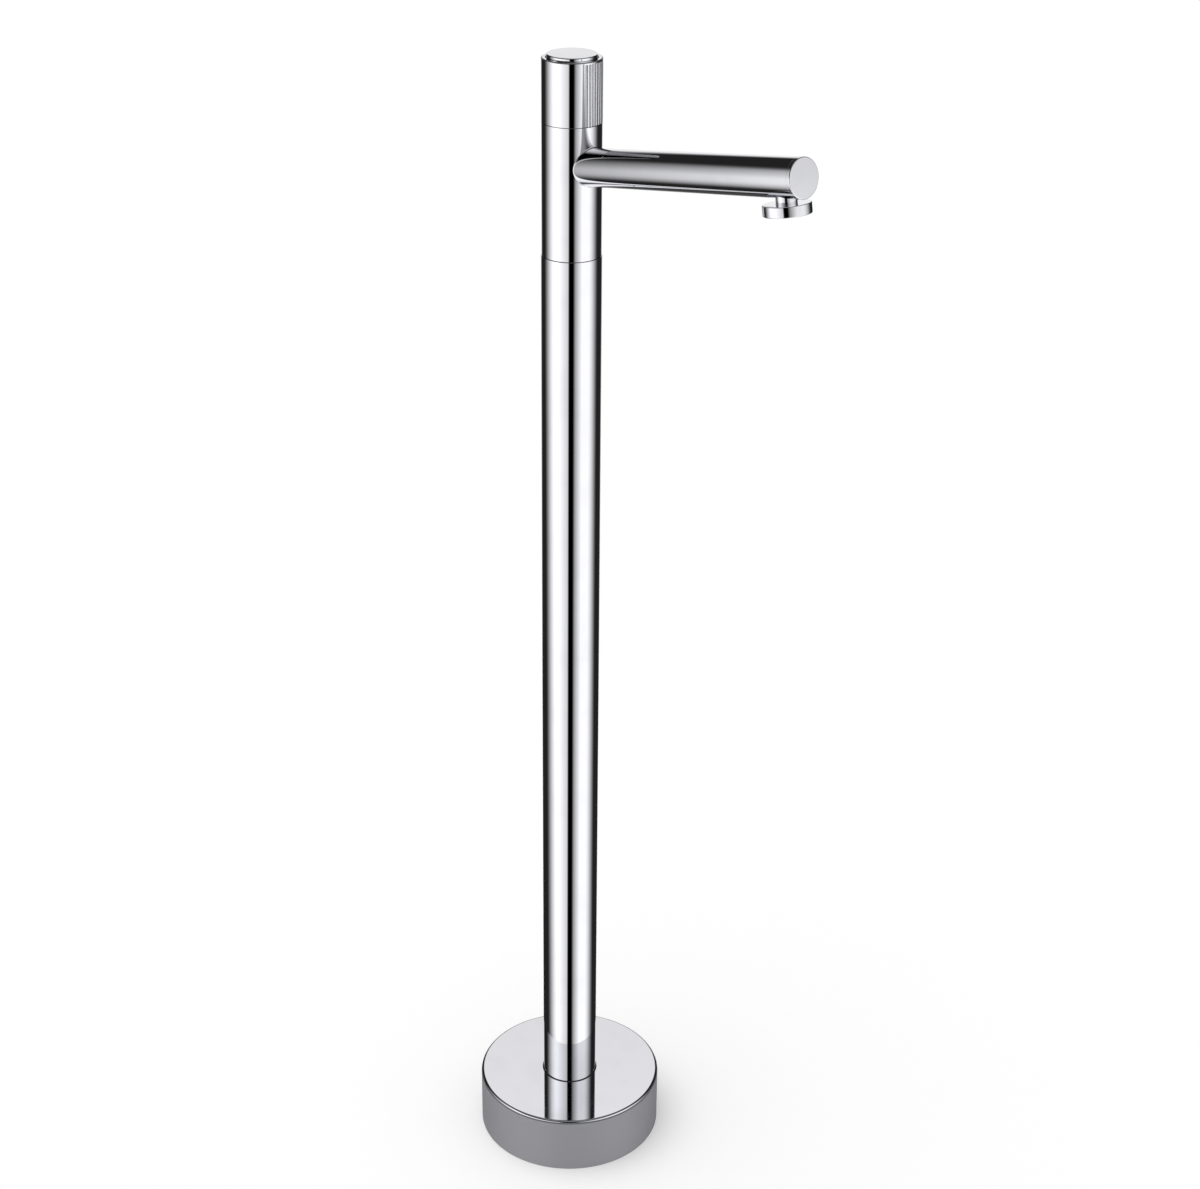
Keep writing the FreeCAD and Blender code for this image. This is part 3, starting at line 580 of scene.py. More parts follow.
finishes = {
    "chrome": polished_chrome(),
    "brass": turned_metal("turned_brass", (0.62, 0.45, 0.20), (0.78, 0.60, 0.31),
                          (0.18, 0.34), 2500.0),
    "steel": turned_metal("bright_stainless", (0.52, 0.52, 0.53), (0.66, 0.66, 0.67),
                          (0.16, 0.30), 4000.0),
    "braided_hose": braided_steel(),
    "cast_flange": pebbled("black_cast_iron", (0.015, 0.015, 0.017), (0.035, 0.035, 0.038),
                           (0.45, 0.7), 450.0, 0.3),
    "dark_rubber": pebbled("black_rubber", (0.012, 0.012, 0.013), (0.025, 0.025, 0.027),
                           (0.38, 0.6), 900.0, 0.03),
    "slip_plastic": pebbled("black_acetal", (0.02, 0.02, 0.022), (0.035, 0.035, 0.038),
                            (0.28, 0.4), 1200.0, 0.01),
    "insert_plastic": pebbled("off_white_acetal", (0.62, 0.62, 0.60), (0.74, 0.74, 0.71),
                              (0.3, 0.42), 1200.0, 0.01),
    "ceramic": pebbled("lapped_ceramic", (0.80, 0.78, 0.73), (0.86, 0.84, 0.80),
                       (0.08, 0.2), 1500.0, 0.004, Coat_Weight=0.3),
}
base_finish = satin_and_mirror()
knob_finish = fluted_chrome()

for row in frame["record"]["subparts"]:
    mesh = nodes[row["node"]].data
    mesh.materials.clear()
    mesh.materials.append(finishes[row["material_slot"]])
print("finishes:", ", ".join(sorted(finishes)))

# %% [markdown]
# ## Turned pieces
#
# Most of what shows on this tap is turned or drawn: every section through the column's axis
# is the same. Spinning an outline round an axis is the natural way to make such a piece.
# Mirror plating needs more care than other finishes, because it shows each wrong normal as
# a bent reflection. So the helper below rounds each corner of the outline with a true arc,
# and gives each vertex the exact normal of the outline there. Flat faces then mirror flat,
# and each edge catches its own thin highlight, as a polished edge does.

# %% The lathe
ROUND_STEPS = 6
LEAST_ROUNDING = 0.02        # in mm: no edge is sharper than this


def rounded_outline(corners, closed):
    """Points and outward normals along an outline of (radius, height, rounding) corners, in mm."""
    spots, facings = [], []
    count = len(corners)
    for k, (r, z, rounding) in enumerate(corners):
        here = Vector((r, z))
        if not closed and k in (0, count - 1):
            other = corners[1] if k == 0 else corners[-2]
            way = (Vector(other[:2]) - here) * (1 if k == 0 else -1)
            spots.append(here)
            facings.append(Vector((way.y, -way.x)).normalized())
            continue
        before = Vector(corners[k - 1][:2])
        after = Vector(corners[(k + 1) % count][:2])
        way_in, way_out = (here - before).normalized(), (after - here).normalized()
        bend = way_in.angle_signed(way_out)
        start = math.atan2(-way_in.x, way_in.y)
        if abs(bend) < 1e-6:
            spots.append(here)
            facings.append(Vector((math.cos(start), math.sin(start))))
            continue
        radius = max(rounding, LEAST_ROUNDING) * (1 if bend < 0 else -1)
        back = way_in * abs(radius) * math.tan(abs(bend) / 2)
        pivot = here - back - Vector((math.cos(start), math.sin(start))) * radius
        for step in range(ROUND_STEPS + 1):
            angle = start - bend * step / ROUND_STEPS
            facing = Vector((math.cos(angle), math.sin(angle)))
            spots.append(pivot + facing * radius)
            facings.append(facing)
    return spots, facings


def spun(spots, facings, closed, angles, place):
    """Spin outline points round the Z axis and move them to their place: points, normals, faces."""
    across = len(angles)
    ring_cos, ring_sin = np.cos(angles), np.sin(angles)
    points, normals, rings = [], [], []
    for spot, facing in zip(spots, facings):
        if spot.x < 1e-6:
            rings.append([len(points)])
            points.append((0, 0, spot.y * MM))
            normals.append((0, 0, 1 if facing.y > 0 else -1))
            continue
        rings.append(list(range(len(points), len(points) + across)))
        for c, s in zip(ring_cos, ring_sin):
            points.append((spot.x * MM * c, spot.x * MM * s, spot.y * MM))
            normals.append((facing.x * c, facing.x * s, facing.y))
    faces = []
    for k in range(len(rings) - (0 if closed else 1)):
        low, high = rings[k], rings[(k + 1) % len(rings)]
        for j in range(across):
            i = (j + 1) % across
            if len(low) == 1:
                faces.append((low[0], high[i], high[j]))
            elif len(high) == 1:
                faces.append((low[j], low[i], high[0]))
            else:
                faces.append((low[j], low[i], high[i], high[j]))
    turned = place.to_3x3()
    return [place @ Vector(p) for p in points], [turned @ Vector(n) for n in normals], faces


def smooth_mesh(name, points, normals, faces):
    """A mesh that is shaded by the given normals."""
    mesh = bpy.data.meshes.new(name)
    mesh.from_pydata(points, [], faces)
    mesh.polygons.foreach_set("use_smooth", [True] * len(faces))
    mesh.normals_split_custom_set_from_vertices(normals)
    return mesh


def spun_mesh(name, *outline_and_place):
    """A spun patch, as a mesh."""
    return smooth_mesh(name, *spun(*outline_and_place))


def even_angles(sides):
    """Angles evenly round a full turn."""
    return np.linspace(0, 2 * math.pi, sides, endpoint=False)


def stands_for(piece, node, body):
    """The piece takes the place of a CAD node, on that body."""
    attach(piece, body)
    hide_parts(node)
    print(piece.name, len(piece.data.polygons), "faces")


def turned_piece(node, corners, body, slot, closed=True, sides=160, place=Matrix(), finish=None):
    """Make a turned piece in place of a CAD node, with its slot's finish."""
    spots, facings = rounded_outline(corners, closed)
    mesh = spun_mesh(node + "_finished", spots, facings, closed, even_angles(sides), place)
    mesh.materials.append(finish or finishes[slot])
    stands_for(shown(node + "_finished", mesh), node, body)


# %% [markdown]
# ## Base, foot ring and column
#
# The base cover is a shallow spun dish, open below, with a hole for the tube. Its rim is
# rounded by the polishing wheel. A thin rubber ring seals the tube's foot in the hole, and
# the tube itself is drawn stock, 42 mm across, with its upper edge just broken.

# %% Base, foot ring and column
# Radii, heights and walls in mm, from the column's axis and the floor.
COVER_WALL = 1.5
COVER_HOLE = 21.7
RIM_ROUNDING = 2.4
RING_BORE, RING_RADIUS, LIP_RADIUS = 21.1, 21.65, 21.8
LIP_HEIGHT = 0.2             # how far the ring's lip stands above the cover
PIPE_RADIUS, PIPE_WALL = 21.0, 1.5

cover_r, cover_top = half_width("base_cover") / MM, base_top / MM
inside_r, inside_top = cover_r - COVER_WALL, cover_top - COVER_WALL
turned_piece("base_cover", [
    (inside_r, 0, 0.3), (cover_r, 0, 0.3), (cover_r, cover_top, RIM_ROUNDING),
    (COVER_HOLE, cover_top, 0.3), (COVER_HOLE, inside_top, 0.3), (inside_r, inside_top, 1.2),
], "column", "chrome", sides=256, finish=base_finish)

ring_foot = foot_and_top("foot_ring")[0] / MM
lip_top = cover_top + LIP_HEIGHT
turned_piece("foot_ring", [
    (RING_BORE, ring_foot, 0.1), (RING_RADIUS, ring_foot, 0.1), (RING_RADIUS, cover_top, 0.05),
    (LIP_RADIUS, cover_top, 0.05), (LIP_RADIUS, lip_top, 0.15), (RING_BORE, lip_top, 0.1),
], "column", "dark_rubber")

pipe_foot, pipe_top = (z / MM for z in foot_and_top("column_pipe"))
turned_piece("column_pipe", [
    (PIPE_RADIUS - PIPE_WALL, pipe_foot, 0.1), (PIPE_RADIUS, pipe_foot, 0.2),
    (PIPE_RADIUS, pipe_top, 0.15), (PIPE_RADIUS - PIPE_WALL, pipe_top, 0.2),
], "column", "chrome", sides=192)

# %% [markdown]
# ## The spout's end and the outlet
#
# The spout is closed by a flat disc with a finely rounded edge. Below it a short neck carries
# the outlet, a flat round box whose underside is open for the flow straightener. These pieces
# are turned too, about axes of their own: the spout's axis, tilted up a little, and the
# outlet's, square to it.

# %% Spout end and outlet
SPOUT_TILT = math.radians(9.7)
SPOUT_Z = 791.5              # where its axis meets the column's, in mm above the floor
SPOUT_LEN = 214.7            # from there to its end disc's face
SPOUT_R = 12.8
DISC_THICK = 3.0
PLUG_LONG, PLUG_R = 7.0, 10.95       # the disc's plug, which sits in the spout
OUTLET_ALONG = 198.3
# In mm below the spout's axis, and across:
NECK_FROM, NECK_R, NECK_BORE = 9.8, 6.75, 4.8
OUTLET_FROM, OUTLET_TO, OUTLET_R, OUTLET_BORE = 15.7, 22.5, 15.4, 11.8
OUTLET_CEILING = 18.4
NECK_HOLE = 6.8              # the outlet's hole for the neck
spout_way = Vector((math.cos(SPOUT_TILT), 0, math.sin(SPOUT_TILT)))
drop_way = Vector((math.sin(SPOUT_TILT), 0, -math.cos(SPOUT_TILT)))
spout_root = Vector((0, 0, SPOUT_Z * MM))


def place_along(axis, origin):
    """Matrix that puts a piece turned about Z onto another axis in the spout's upright plane."""
    side = Vector((0, 1, 0))
    across = side.cross(axis)
    matrix = Matrix((across, side, axis)).transposed().to_4x4()
    matrix.translation = origin
    return matrix


on_spout = place_along(spout_way, spout_root)
on_outlet = place_along(drop_way, spout_root + spout_way * OUTLET_ALONG * MM)

seat = SPOUT_LEN - DISC_THICK
turned_piece("spout_end_cap", [
    (0, SPOUT_LEN - PLUG_LONG, 0), (PLUG_R, SPOUT_LEN - PLUG_LONG, 0.3), (PLUG_R, seat, 0.05),
    (SPOUT_R, seat, 0.08), (SPOUT_R, SPOUT_LEN, 0.6), (0, SPOUT_LEN, 0),
], "spout", "chrome", closed=False, place=on_spout)

turned_piece("outlet_neck", [
    (NECK_BORE, NECK_FROM, 0.1), (NECK_R, NECK_FROM, 0.1), (NECK_R, OUTLET_CEILING, 0.1),
    (NECK_BORE, OUTLET_CEILING, 0.1),
], "spout", "chrome", sides=96, place=on_outlet)

turned_piece("outlet_housing", [
    (NECK_HOLE, OUTLET_FROM, 0.3), (OUTLET_R, OUTLET_FROM, 0.5), (OUTLET_R, OUTLET_TO, 0.5),
    (OUTLET_BORE, OUTLET_TO, 0.3), (OUTLET_BORE, OUTLET_CEILING, 0.1),
    (NECK_HOLE, OUTLET_CEILING, 0.1),
], "spout", "chrome", place=on_outlet)

# %% [markdown]
# ## The button
#
# The button is a shallow cup, upside down, that stands a little proud of the knob's rim. Its
# edge is rolled over softly, and a dark ring-shaped gap is left round it.

# %% Button
CAP_WALL = 1.5
CAP_CEILING = 863.6          # the underside of its top, where the spring pushes
cap_r = half_width("button_cap") / MM
cap_foot, cap_top = (z / MM for z in foot_and_top("button_cap"))
turned_piece("button_cap", [
    (0, CAP_CEILING, 0), (cap_r - CAP_WALL, CAP_CEILING, 0.5), (cap_r - CAP_WALL, cap_foot, 0.2),
    (cap_r, cap_foot, 0.2), (cap_r, cap_top, 0.7), (0, cap_top, 0),
], "button", "chrome", closed=False)

# %% [markdown]
# ## The spout body
#
# The sleeve and the spout are one casting, and a small fillet runs round the place where the
# one grows out of the other. A casting pattern gets that fillet from a ball of wax pressed
# along the corner, and the same idea gives the surface here: a ball rolls round the corner and
# touches both cylinders. Where it touches, the fillet starts and ends, and its normals point
# to the ball's centre. The rest of the sleeve is drawn out from there to its rims, so the
# whole outside is one smooth sheet without a facet for the chrome to show.

# %% Spout body
SADDLE_R = 0.6               # the fillet's radius, in mm like all sizes here
SEAM = 0.3                   # the slip rings' gap at both ends of the sleeve
BORE_R, LEDGE_R, LEDGE_TOP = 19.4, 18.05, 818.0
SPOUT_BORE, SPOUT_BORE_LONG = 11.0, 20.0     # the part of the spout's bore behind the disc
sleeve_r = half_width("spout_body") / MM
sleeve_foot = foot_and_top("column_pipe")[1] / MM + SEAM
sleeve_top = foot_and_top("knob")[0] / MM - SEAM
TUBE_FROM = 205.0            # the spout's last few millimetres are turned, with its end
ACROSS, UPWARD = 96, 60      # columns of the sleeve's sheet, along its rims and up its seam
SHEET_ROWS, FILLET_ROWS, TUBE_ROWS = 40, 8, 16
EDGE = 0.3                   # the sheet stops this far from the sleeve's rims


def sheet_border():
    """The sleeve's sheet, unrolled: (round, up) points along its border, from the middle below."""
    half, low, high = math.pi * sleeve_r, sleeve_foot + EDGE, sleeve_top - EDGE
    across, upward = np.arange(ACROSS) / ACROSS, np.arange(UPWARD) / UPWARD
    below = [(half * (2 * s), low) for s in across[:ACROSS // 2]]
    right = [(half, low + (high - low) * s) for s in upward]
    above = [(half * (1 - 2 * s), high) for s in across]
    left = [(-half, high - (high - low) * s) for s in upward]
    back = [(half * (2 * s - 2), low) for s in across[ACROSS // 2:]]
    return below + right + above + left + back


def spout_column(t, border):
    """Points (mm) and normals from the sleeve's border, over the fillet, out along the spout."""
    away = drop_way * math.cos(t) + Vector((0, 1, 0)) * math.sin(t)
    reach = SPOUT_R + SADDLE_R
    centre_y = reach * math.sin(t)
    centre_x = math.sqrt((sleeve_r + SADDLE_R) ** 2 - centre_y ** 2)
    along = (centre_x - reach * away.x) / spout_way.x
    root = Vector((0, 0, SPOUT_Z))
    centre = root + away * reach + spout_way * along
    outward = Vector((centre.x, centre.y, 0)).normalized()
    start = (math.atan2(outward.y, outward.x) * sleeve_r, centre.z)
    points, normals = [], []
    for row in range(SHEET_ROWS):
        share = row / SHEET_ROWS
        round_it, up = (b + (s - b) * share for b, s in zip(border, start))
        facing = Vector((math.cos(round_it / sleeve_r), math.sin(round_it / sleeve_r), 0))
        points.append(facing * sleeve_r + Vector((0, 0, up)))
        normals.append(facing)
    for row in range(FILLET_ROWS + 1):
        facing = outward.slerp(away, row / FILLET_ROWS)
        points.append(centre - facing * SADDLE_R)
        normals.append(facing)
    for row in range(1, TUBE_ROWS + 1):
        reached = along + (TUBE_FROM - along) * row / TUBE_ROWS
        points.append(root + away * SPOUT_R + spout_way * reached)
        normals.append(away)
    return points, normals


def spout_sheet():
    """The sleeve's and the spout's outside, as one patch."""
    border = sheet_border()
    turns = even_angles(len(border))
    columns = [spout_column(t, spot) for t, spot in zip(turns, border)]
    rows, across = len(columns[0][0]), len(columns)
    points = [columns[j][0][k] * MM for k in range(rows) for j in range(across)]
    normals = [columns[j][1][k] for k in range(rows) for j in range(across)]
    faces = [(k * across + j, k * across + (j + 1) % across,
              (k + 1) * across + (j + 1) % across, (k + 1) * across + j)
             for k in range(rows - 1) for j in range(across)]
    return points, normals, faces


def welded(patches):
    """Join patches of points (in metres), normals and faces where their points meet."""
    index, points, normals, faces = {}, [], [], []
    for patch_points, patch_normals, patch_faces in patches:
        place = []
        for point, normal in zip(patch_points, patch_normals):
            key = tuple(round(c * 1e6) for c in point)
            if key not in index:
                index[key] = len(points)
                points.append(point)
                normals.append(normal)
            place.append(index[key])
        for face in patch_faces:
            face = list(dict.fromkeys(place[k] for k in face))
            if len(face) > 2:
                faces.append(face)
    return points, normals, faces


sheet = spout_sheet()
rims = spun(*rounded_outline([
    (sleeve_r, sleeve_top - EDGE, 0), (sleeve_r, sleeve_top, 0.12), (BORE_R, sleeve_top, 0.1),
    (BORE_R, LEDGE_TOP, 0.1), (LEDGE_R, LEDGE_TOP, 0.1), (LEDGE_R, sleeve_foot, 0.1),
    (sleeve_r, sleeve_foot, 0.12), (sleeve_r, sleeve_foot + EDGE, 0),
], False), False, even_angles(ACROSS), Matrix())
bore_foot = seat - SPOUT_BORE_LONG
mouth = spun(*rounded_outline([
    (SPOUT_R, TUBE_FROM, 0), (SPOUT_R, seat, 0.08), (SPOUT_BORE, seat, 0.1),
    (SPOUT_BORE, bore_foot, 0.1), (0, bore_foot, 0),
], False), False, even_angles(len(sheet_border())), on_spout)
spout_mesh = smooth_mesh("spout_body_finished", *welded([sheet, rims, mouth]))
spout_mesh.materials.append(finishes["chrome"])
stands_for(shown("spout_body_finished", spout_mesh), "spout_body", "spout")

# %% [markdown]
# ## Shapes that follow a rule
#
# Three pieces repeat something by a rule: the knob's grooves come at an even angle, the flow
# straightener is a field of six-sided cells, and the button's spring is a helix. Geometry
# Nodes state such a rule once, with its sizes as named inputs. Each tree is run once, and its
# result is kept as a plain mesh, as a shop keeps the part and not the drawing.

# %% Helpers for Geometry Nodes


def shape_tree(name, sizes):
    """A tree with a Geometry input and output, a named input for each size, and a Finish."""
    tree = bpy.data.node_groups.new(name, "GeometryNodeTree")
    for way in ("INPUT", "OUTPUT"):
        tree.interface.new_socket("Geometry", in_out=way, socket_type="NodeSocketGeometry")
    for label, value in sizes.items():
        kind = "NodeSocketInt" if isinstance(value, int) else "NodeSocketFloat"
        tree.interface.new_socket(label, in_out="INPUT", socket_type=kind)
    tree.interface.new_socket("Finish", in_out="INPUT", socket_type="NodeSocketMaterial")
    return tree, add(tree, "NodeGroupInput").outputs, add(tree, "NodeGroupOutput")


def close_tree(tree, size, result, geometry):
    """The end of each tree: copies become real and the finish is set."""
    real = feed(tree, "GeometryNodeRealizeInstances", Geometry=geometry)
    painted = feed(tree, "GeometryNodeSetMaterial", Geometry=real.outputs[0],
                   Material=size["Finish"])
    give(tree, result, Geometry=painted.outputs[0])


def grown(name, tree, sizes, finish, blank=None):
    """Run a tree on a blank mesh, or on nothing, and return the plain object that it makes."""
    piece = shown(name, blank or bpy.data.meshes.new(name))
    modifier = piece.modifiers.new(name, "NODES")
    modifier.node_group = tree
    values = dict(sizes, Finish=finish)
    for item in tree.interface.items_tree:
        if item.in_out == "INPUT" and item.name in values:
            modifier[item.identifier] = values[item.name]
    ready = piece.evaluated_get(bpy.context.evaluated_depsgraph_get())
    plain = bpy.data.meshes.new_from_object(ready)
    piece.modifiers.clear()
    piece.data = plain
    return piece


# %% [markdown]
# ## The knob
#
# The knob is turned like the other round pieces, and then a thin round cutter runs along its
# wall eight times on each side, to give wet fingers a grip. The tree moves the wall in to
# where the cutter has been. A soft minimum of the two radii leaves each groove's edge gently
# broken, as it is after plating. The blank has extra columns where the edges of the grooves
# fall, and its normals are worked out from the finished radius, so the grooves mirror well.

# %% Knob
TOOL_RADIUS, GROOVE_DEPTH = 1.6 * MM, 0.35 * MM
KNOB_EDGE = 0.9              # rounding of its upper edge, in mm
KNOB_FLOOR, KNOB_CEILING = 853.0, 849.2      # both sides of the plate that carries the knob
SKIRT_BORE, CUP_BORE, ROD_HOLE = 18.9, 17.7, 3.0
BELOW_GROOVE_TOP = 840.0     # one more row of points, on the even part of the grooves
GROOVES = {
    "Body Radius": half_width("knob"), "Tool Radius": TOOL_RADIUS,
    "Tool Centre": half_width("knob") + TOOL_RADIUS - GROOVE_DEPTH, "First Groove": -13.5,
    "Pitch": 7.5, "Grooves": 8, "Groove Top": foot_and_top("knob")[1] - 1.4 * MM,
    "Run Out": 0.5 * MM, "Edge Softness": 0.1 * MM,
}
# The blank's columns, in degrees: near a groove's middle, and evenly elsewhere.
GROOVE_COLUMNS = (-3.2, -3.0, -2.85, -2.7, -2.55, -2.4, -2.2, -1.6, -1.0, -0.4,
                  0.4, 1.0, 1.6, 2.2, 2.4, 2.55, 2.7, 2.85, 3.0, 3.2)
PLAIN_STEP = 2.5
GROOVE_REACH = 4.5           # the even columns keep this far from a groove's middle


def fluting_tree():
    """Moves a round wall in to where a round cutter has run along it, in two zones of grooves."""
    tree, size, result = shape_tree("fluting", GROOVES)
    x, y, z = split(tree, add(tree, "GeometryNodeInputPosition").outputs[0])
    radius = radius_of(tree, x, y)
    turn = product(tree, calc(tree, y, x, "ARCTAN2"), 180 / math.pi)
    # The zones are half a turn apart, so the angle is folded into one half turn.
    lead = calc(tree, calc(tree, turn, size["First Groove"], "SUBTRACT"), size["Pitch"])
    folded = calc(tree, calc(tree, lead, 180, "FLOORED_MODULO"), size["Pitch"], "SUBTRACT")
    nearest = calc(tree, calc(tree, folded, size["Pitch"], "DIVIDE"), 0, "ROUND")
    last = calc(tree, size["Grooves"], 1, "SUBTRACT")
    nearest = calc(tree, calc(tree, nearest, 0, "MAXIMUM"), last, "MINIMUM")
    off = calc(tree, folded, product(tree, nearest, size["Pitch"]), "SUBTRACT")
    off = calc(tree, calc(tree, off, 0, "ABSOLUTE"), product(tree, size["Pitch"], 0.5), "MINIMUM")
    off = product(tree, off, math.pi / 180)
    # How far out the cutter leaves metal, at this angle from the groove's middle.
    ahead = product(tree, size["Tool Centre"], calc(tree, off, 0, "COSINE"))
    sideways = product(tree, size["Tool Centre"], calc(tree, off, 0, "SINE"))
    reach = calc(tree, calc(tree, size["Tool Radius"], 2, "POWER"),
                 calc(tree, sideways, 2, "POWER"), "SUBTRACT")
    reach = calc(tree, calc(tree, reach, 0, "MAXIMUM"), 0.5, "POWER")
    reach = calc(tree, ahead, reach, "SUBTRACT")
    soft = add(tree, "ShaderNodeMath", operation="SMOOTH_MIN")
    for socket, value in zip(soft.inputs, (size["Body Radius"], reach, size["Edge Softness"])):
        link(tree, value, socket)
    depth = calc(tree, size["Body Radius"], soft.outputs[0], "SUBTRACT")
    fade = feed(tree, "ShaderNodeMapRange", {"interpolation_type": "SMOOTHSTEP"}, Value=z,
                From_Min=calc(tree, size["Groove Top"], size["Run Out"], "SUBTRACT"),
                From_Max=size["Groove Top"], To_Min=1.0, To_Max=0.0).outputs[0]
    inner = calc(tree, size["Body Radius"], KNOB_EDGE * MM, "SUBTRACT")
    cut = product(tree, depth, fade, calc(tree, radius, inner, "GREATER_THAN"))
    share = calc(tree, cut, product(tree, radius, -1), "DIVIDE")
    move = feed(tree, "ShaderNodeCombineXYZ", X=product(tree, x, share), Y=product(tree, y, share))
    moved = feed(tree, "GeometryNodeSetPosition", Geometry=size["Geometry"],
                 Offset=move.outputs[0])
    close_tree(tree, size, result, moved.outputs[0])
    return tree


def knob_columns():
    """Angles round the knob, in radians: close together over the grooves."""
    middles = [start + GROOVES["Pitch"] * k for k in range(GROOVES["Grooves"])
               for start in (GROOVES["First Groove"], GROOVES["First Groove"] + 180)]
    close = [middle + step for middle in middles for step in GROOVE_COLUMNS]
    wide = [a for a in np.arange(0, 360, PLAIN_STEP)
            if all(abs((a - middle + 180) % 360 - 180) > GROOVE_REACH for middle in middles)]
    return np.radians(np.sort(np.mod(close + wide, 360)))


def fluted_normals(mesh, spots, facings, columns):
    """Normals of the fluted blank, from how its radius changes round the wall and up it."""
    flat = np.empty(3 * len(mesh.vertices))
    mesh.vertices.foreach_get("co", flat)
    grid = flat.reshape(len(spots), len(columns), 3)
    radius = np.hypot(grid[:, :, 0], grid[:, :, 1])
    around = np.column_stack((radius[:, -1], radius, radius[:, 0]))
    turns = np.concatenate(([columns[-1] - 2 * math.pi], columns, [columns[0] + 2 * math.pi]))
    lean = np.gradient(around, turns, axis=1)[:, 1:-1] / radius
    out = np.array([facing.x for facing in facings])[:, None]
    up = np.array([facing.y for facing in facings])[:, None]
    wall = [k for k, (spot, facing) in enumerate(zip(spots, facings))
            if facing.x > 0.999 and spot.x * MM > GROOVES["Body Radius"] - 0.1 * MM]
    climb = np.zeros_like(radius)
    climb[wall] = np.gradient(radius[wall], grid[wall, 0, 2], axis=0)
    cosine, sine = np.cos(columns), np.sin(columns)
    tangent = -out * lean
    normals = np.dstack((out * cosine - tangent * sine, out * sine + tangent * cosine,
                         (up - out * climb) * np.ones_like(radius)))
    return (normals / np.linalg.norm(normals, axis=2, keepdims=True)).reshape(-1, 3)


knob_r = GROOVES["Body Radius"] / MM
knob_foot, knob_top = (z / MM for z in foot_and_top("knob"))
run_out = np.linspace(GROOVES["Groove Top"] - GROOVES["Run Out"], GROOVES["Groove Top"], 7) / MM
knob_spots, knob_facings = rounded_outline([
    (ROD_HOLE, KNOB_CEILING, 0.2), (SKIRT_BORE, KNOB_CEILING, 0.2), (SKIRT_BORE, knob_foot, 0.1),
    (knob_r, knob_foot, 0.12), (knob_r, BELOW_GROOVE_TOP, 0),
    *((knob_r, z, 0) for z in run_out), (knob_r, knob_top, KNOB_EDGE),
    (CUP_BORE, knob_top, 0.3), (CUP_BORE, KNOB_FLOOR, 0.3), (ROD_HOLE, KNOB_FLOOR, 0.2),
], True)
columns = knob_columns()
blank = spun_mesh("knob_blank", knob_spots, knob_facings, True, columns, Matrix())
knob = grown("knob_finished", fluting_tree(), GROOVES, knob_finish, blank)
knob.data.normals_split_custom_set_from_vertices(
    fluted_normals(knob.data, knob_spots, knob_facings, columns))
stands_for(knob, "knob", "knob")

# %% [markdown]
# ## The flow straightener
#
# The insert in the outlet is moulded with a honeycomb of small channels, so the stream leaves
# clear and quiet. Its cells sit on a lattice of even triangles. The tree lays out the lattice,
# drops the points outside a hexagon, stands a six-sided rod on each, and takes the rods out
# of a disc with a Boolean.

# %% Flow straightener
HONEYCOMB = {"Disc Radius": 11.7 * MM, "Disc Height": 2.9 * MM, "Cell Pitch": 2.9 * MM,
             "Cell Radius": 1.3 * MM, "Rings": 3}
INSERT_FROM = 19.0           # in mm below the spout's axis
INSERT_SIDES = 96
SHARP_FROM = math.radians(30)


def honeycomb_tree():
    """A disc with a hexagon of six-sided channels through it."""
    tree, size, result = shape_tree("honeycomb", HONEYCOMB)
    count = calc(tree, product(tree, size["Rings"], 2), 1)
    lattice = feed(tree, "GeometryNodeMeshGrid", Vertices_X=count, Vertices_Y=count)
    index = add(tree, "GeometryNodeInputIndex").outputs[0]
    row = calc(tree, calc(tree, calc(tree, index, count, "DIVIDE"), 0, "FLOOR"),
               size["Rings"], "SUBTRACT")
    column = calc(tree, calc(tree, index, count, "MODULO"), size["Rings"], "SUBTRACT")
    across = calc(tree, column, product(tree, row, 0.5))
    spot = feed(tree, "ShaderNodeCombineXYZ",
                X=product(tree, row, math.sqrt(3) / 2, size["Cell Pitch"]),
                Y=product(tree, across, size["Cell Pitch"]))
    far = calc(tree, calc(tree, calc(tree, row, column), 0, "ABSOLUTE"),
               calc(tree, size["Rings"], 0.5), "GREATER_THAN")
    marked = feed(tree, "GeometryNodeStoreNamedAttribute",
                  {"data_type": "FLOAT", "domain": "POINT"},
                  Geometry=lattice.outputs["Mesh"], Name="far", Value=far)
    laid = feed(tree, "GeometryNodeSetPosition", Geometry=marked.outputs[0],
                Position=spot.outputs[0])
    known = feed(tree, "GeometryNodeInputNamedAttribute", {"data_type": "FLOAT"}, Name="far")
    kept = feed(tree, "GeometryNodeDeleteGeometry", {"domain": "POINT"}, Geometry=laid.outputs[0],
                Selection=known.outputs["Attribute"])
    rod = feed(tree, "GeometryNodeMeshCylinder", Vertices=6, Radius=size["Cell Radius"],
               Depth=product(tree, size["Disc Height"], 3))
    rods = feed(tree, "GeometryNodeInstanceOnPoints", Points=kept.outputs[0],
                Instance=rod.outputs["Mesh"])
    disc = feed(tree, "GeometryNodeMeshCylinder", Vertices=INSERT_SIDES,
                Radius=size["Disc Radius"], Depth=size["Disc Height"])
    real = feed(tree, "GeometryNodeRealizeInstances", Geometry=rods.outputs[0])
    bored = feed(tree, "GeometryNodeMeshBoolean", {"operation": "DIFFERENCE", "solver": "EXACT"},
                 Mesh_1=disc.outputs["Mesh"], Mesh_2=real.outputs[0])
    close_tree(tree, size, result, bored.outputs["Mesh"])
    return tree


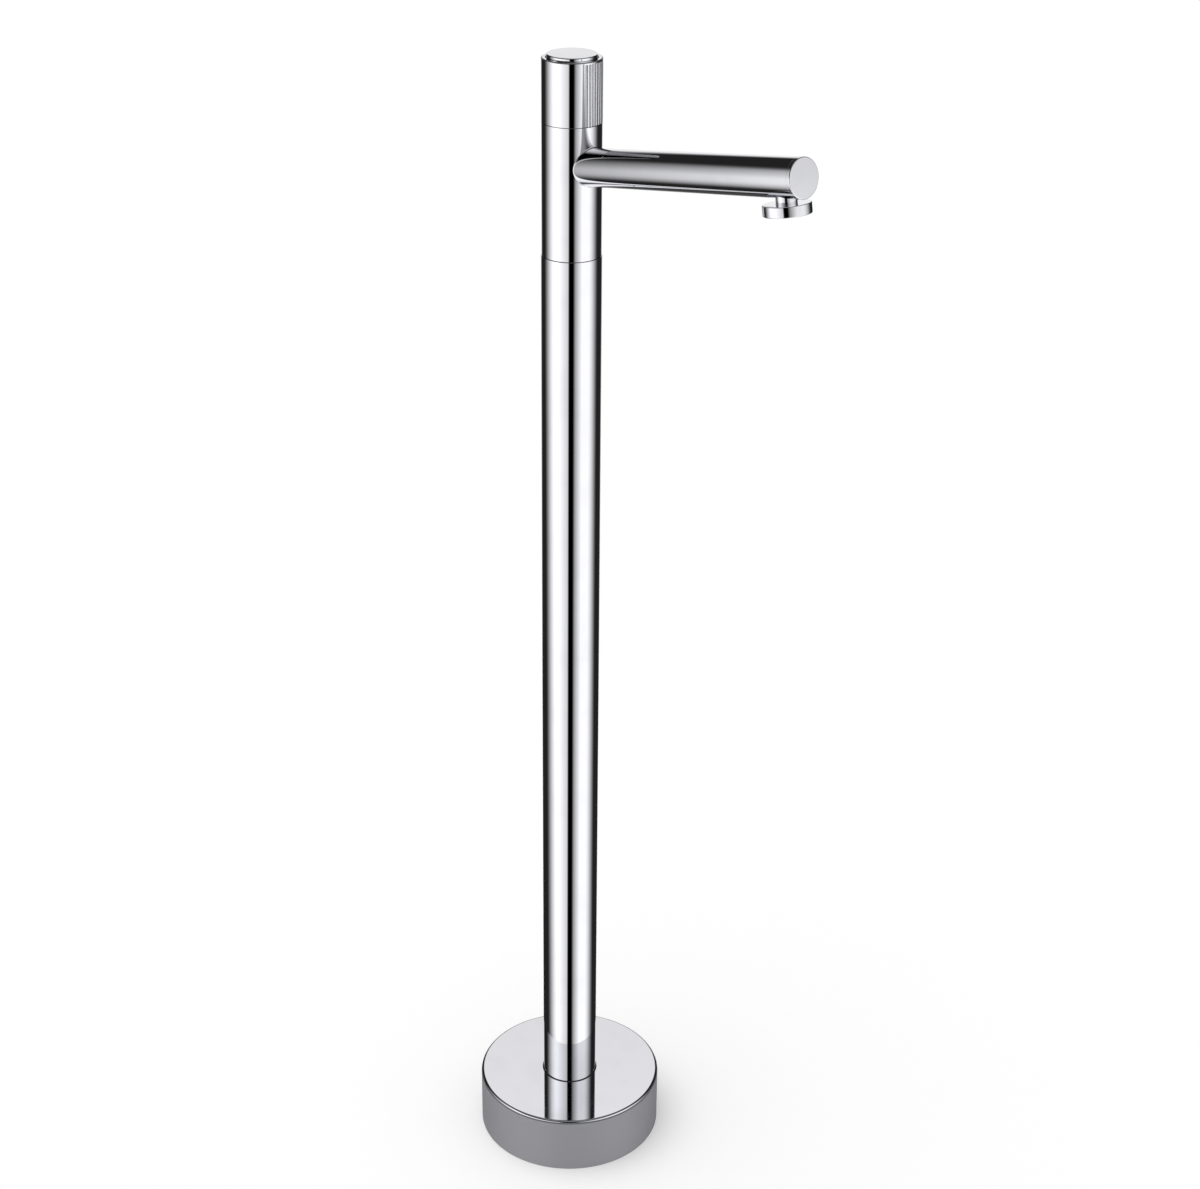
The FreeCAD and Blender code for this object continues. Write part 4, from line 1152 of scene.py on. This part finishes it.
insert = grown("flow_straightener_finished", honeycomb_tree(), HONEYCOMB,
               finishes["insert_plastic"])
middle = INSERT_FROM * MM + HONEYCOMB["Disc Height"] / 2
insert.data.transform(on_outlet @ Matrix.Translation((0, 0, middle)))
insert.data.polygons.foreach_set("use_smooth", [True] * len(insert.data.polygons))
insert.data.set_sharp_from_angle(angle=SHARP_FROM)
stands_for(insert, "flow_straightener", "spout")

# %% [markdown]
# ## The button's spring
#
# A coil of stainless wire pushes the button back up. One end stands on the knob and the other
# pushes on the cap, so the coil shortens as the button goes down. It is wound from a spiral
# curve.

# %% Button spring
WIRE_LIFT = 0.45             # the lowest turn's middle above the knob's floor, in mm
SPRING = {"Coil Radius": 7.0 * MM, "Wire Radius": 0.4 * MM, "Turns": 4.5,
          "Foot": (KNOB_FLOOR + WIRE_LIFT) * MM, "Height": 9.7 * MM}
TURN_STEPS, WIRE_SIDES = 48, 12


def spring_tree():
    """Round wire wound up a helix."""
    tree, size, result = shape_tree("spring", SPRING)
    helix = feed(tree, "GeometryNodeCurveSpiral", Resolution=TURN_STEPS,
                 Rotations=size["Turns"], Start_Radius=size["Coil Radius"],
                 End_Radius=size["Coil Radius"], Height=size["Height"])
    section = feed(tree, "GeometryNodeCurvePrimitiveCircle", Resolution=WIRE_SIDES,
                   Radius=size["Wire Radius"])
    wire = feed(tree, "GeometryNodeCurveToMesh", Curve=helix.outputs[0],
                Profile_Curve=section.outputs["Curve"], Fill_Caps=True)
    lift = feed(tree, "ShaderNodeCombineXYZ", Z=size["Foot"])
    placed = feed(tree, "GeometryNodeTransform", Geometry=wire.outputs[0],
                  Translation=lift.outputs[0])
    smooth = feed(tree, "GeometryNodeSetShadeSmooth", Geometry=placed.outputs[0])
    close_tree(tree, size, result, smooth.outputs[0])
    return tree


spring = grown("button_spring_finished", spring_tree(), SPRING, finishes["steel"])
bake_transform(spring)
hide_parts("button_spring")
print("spring:", len(spring.data.polygons), "faces")
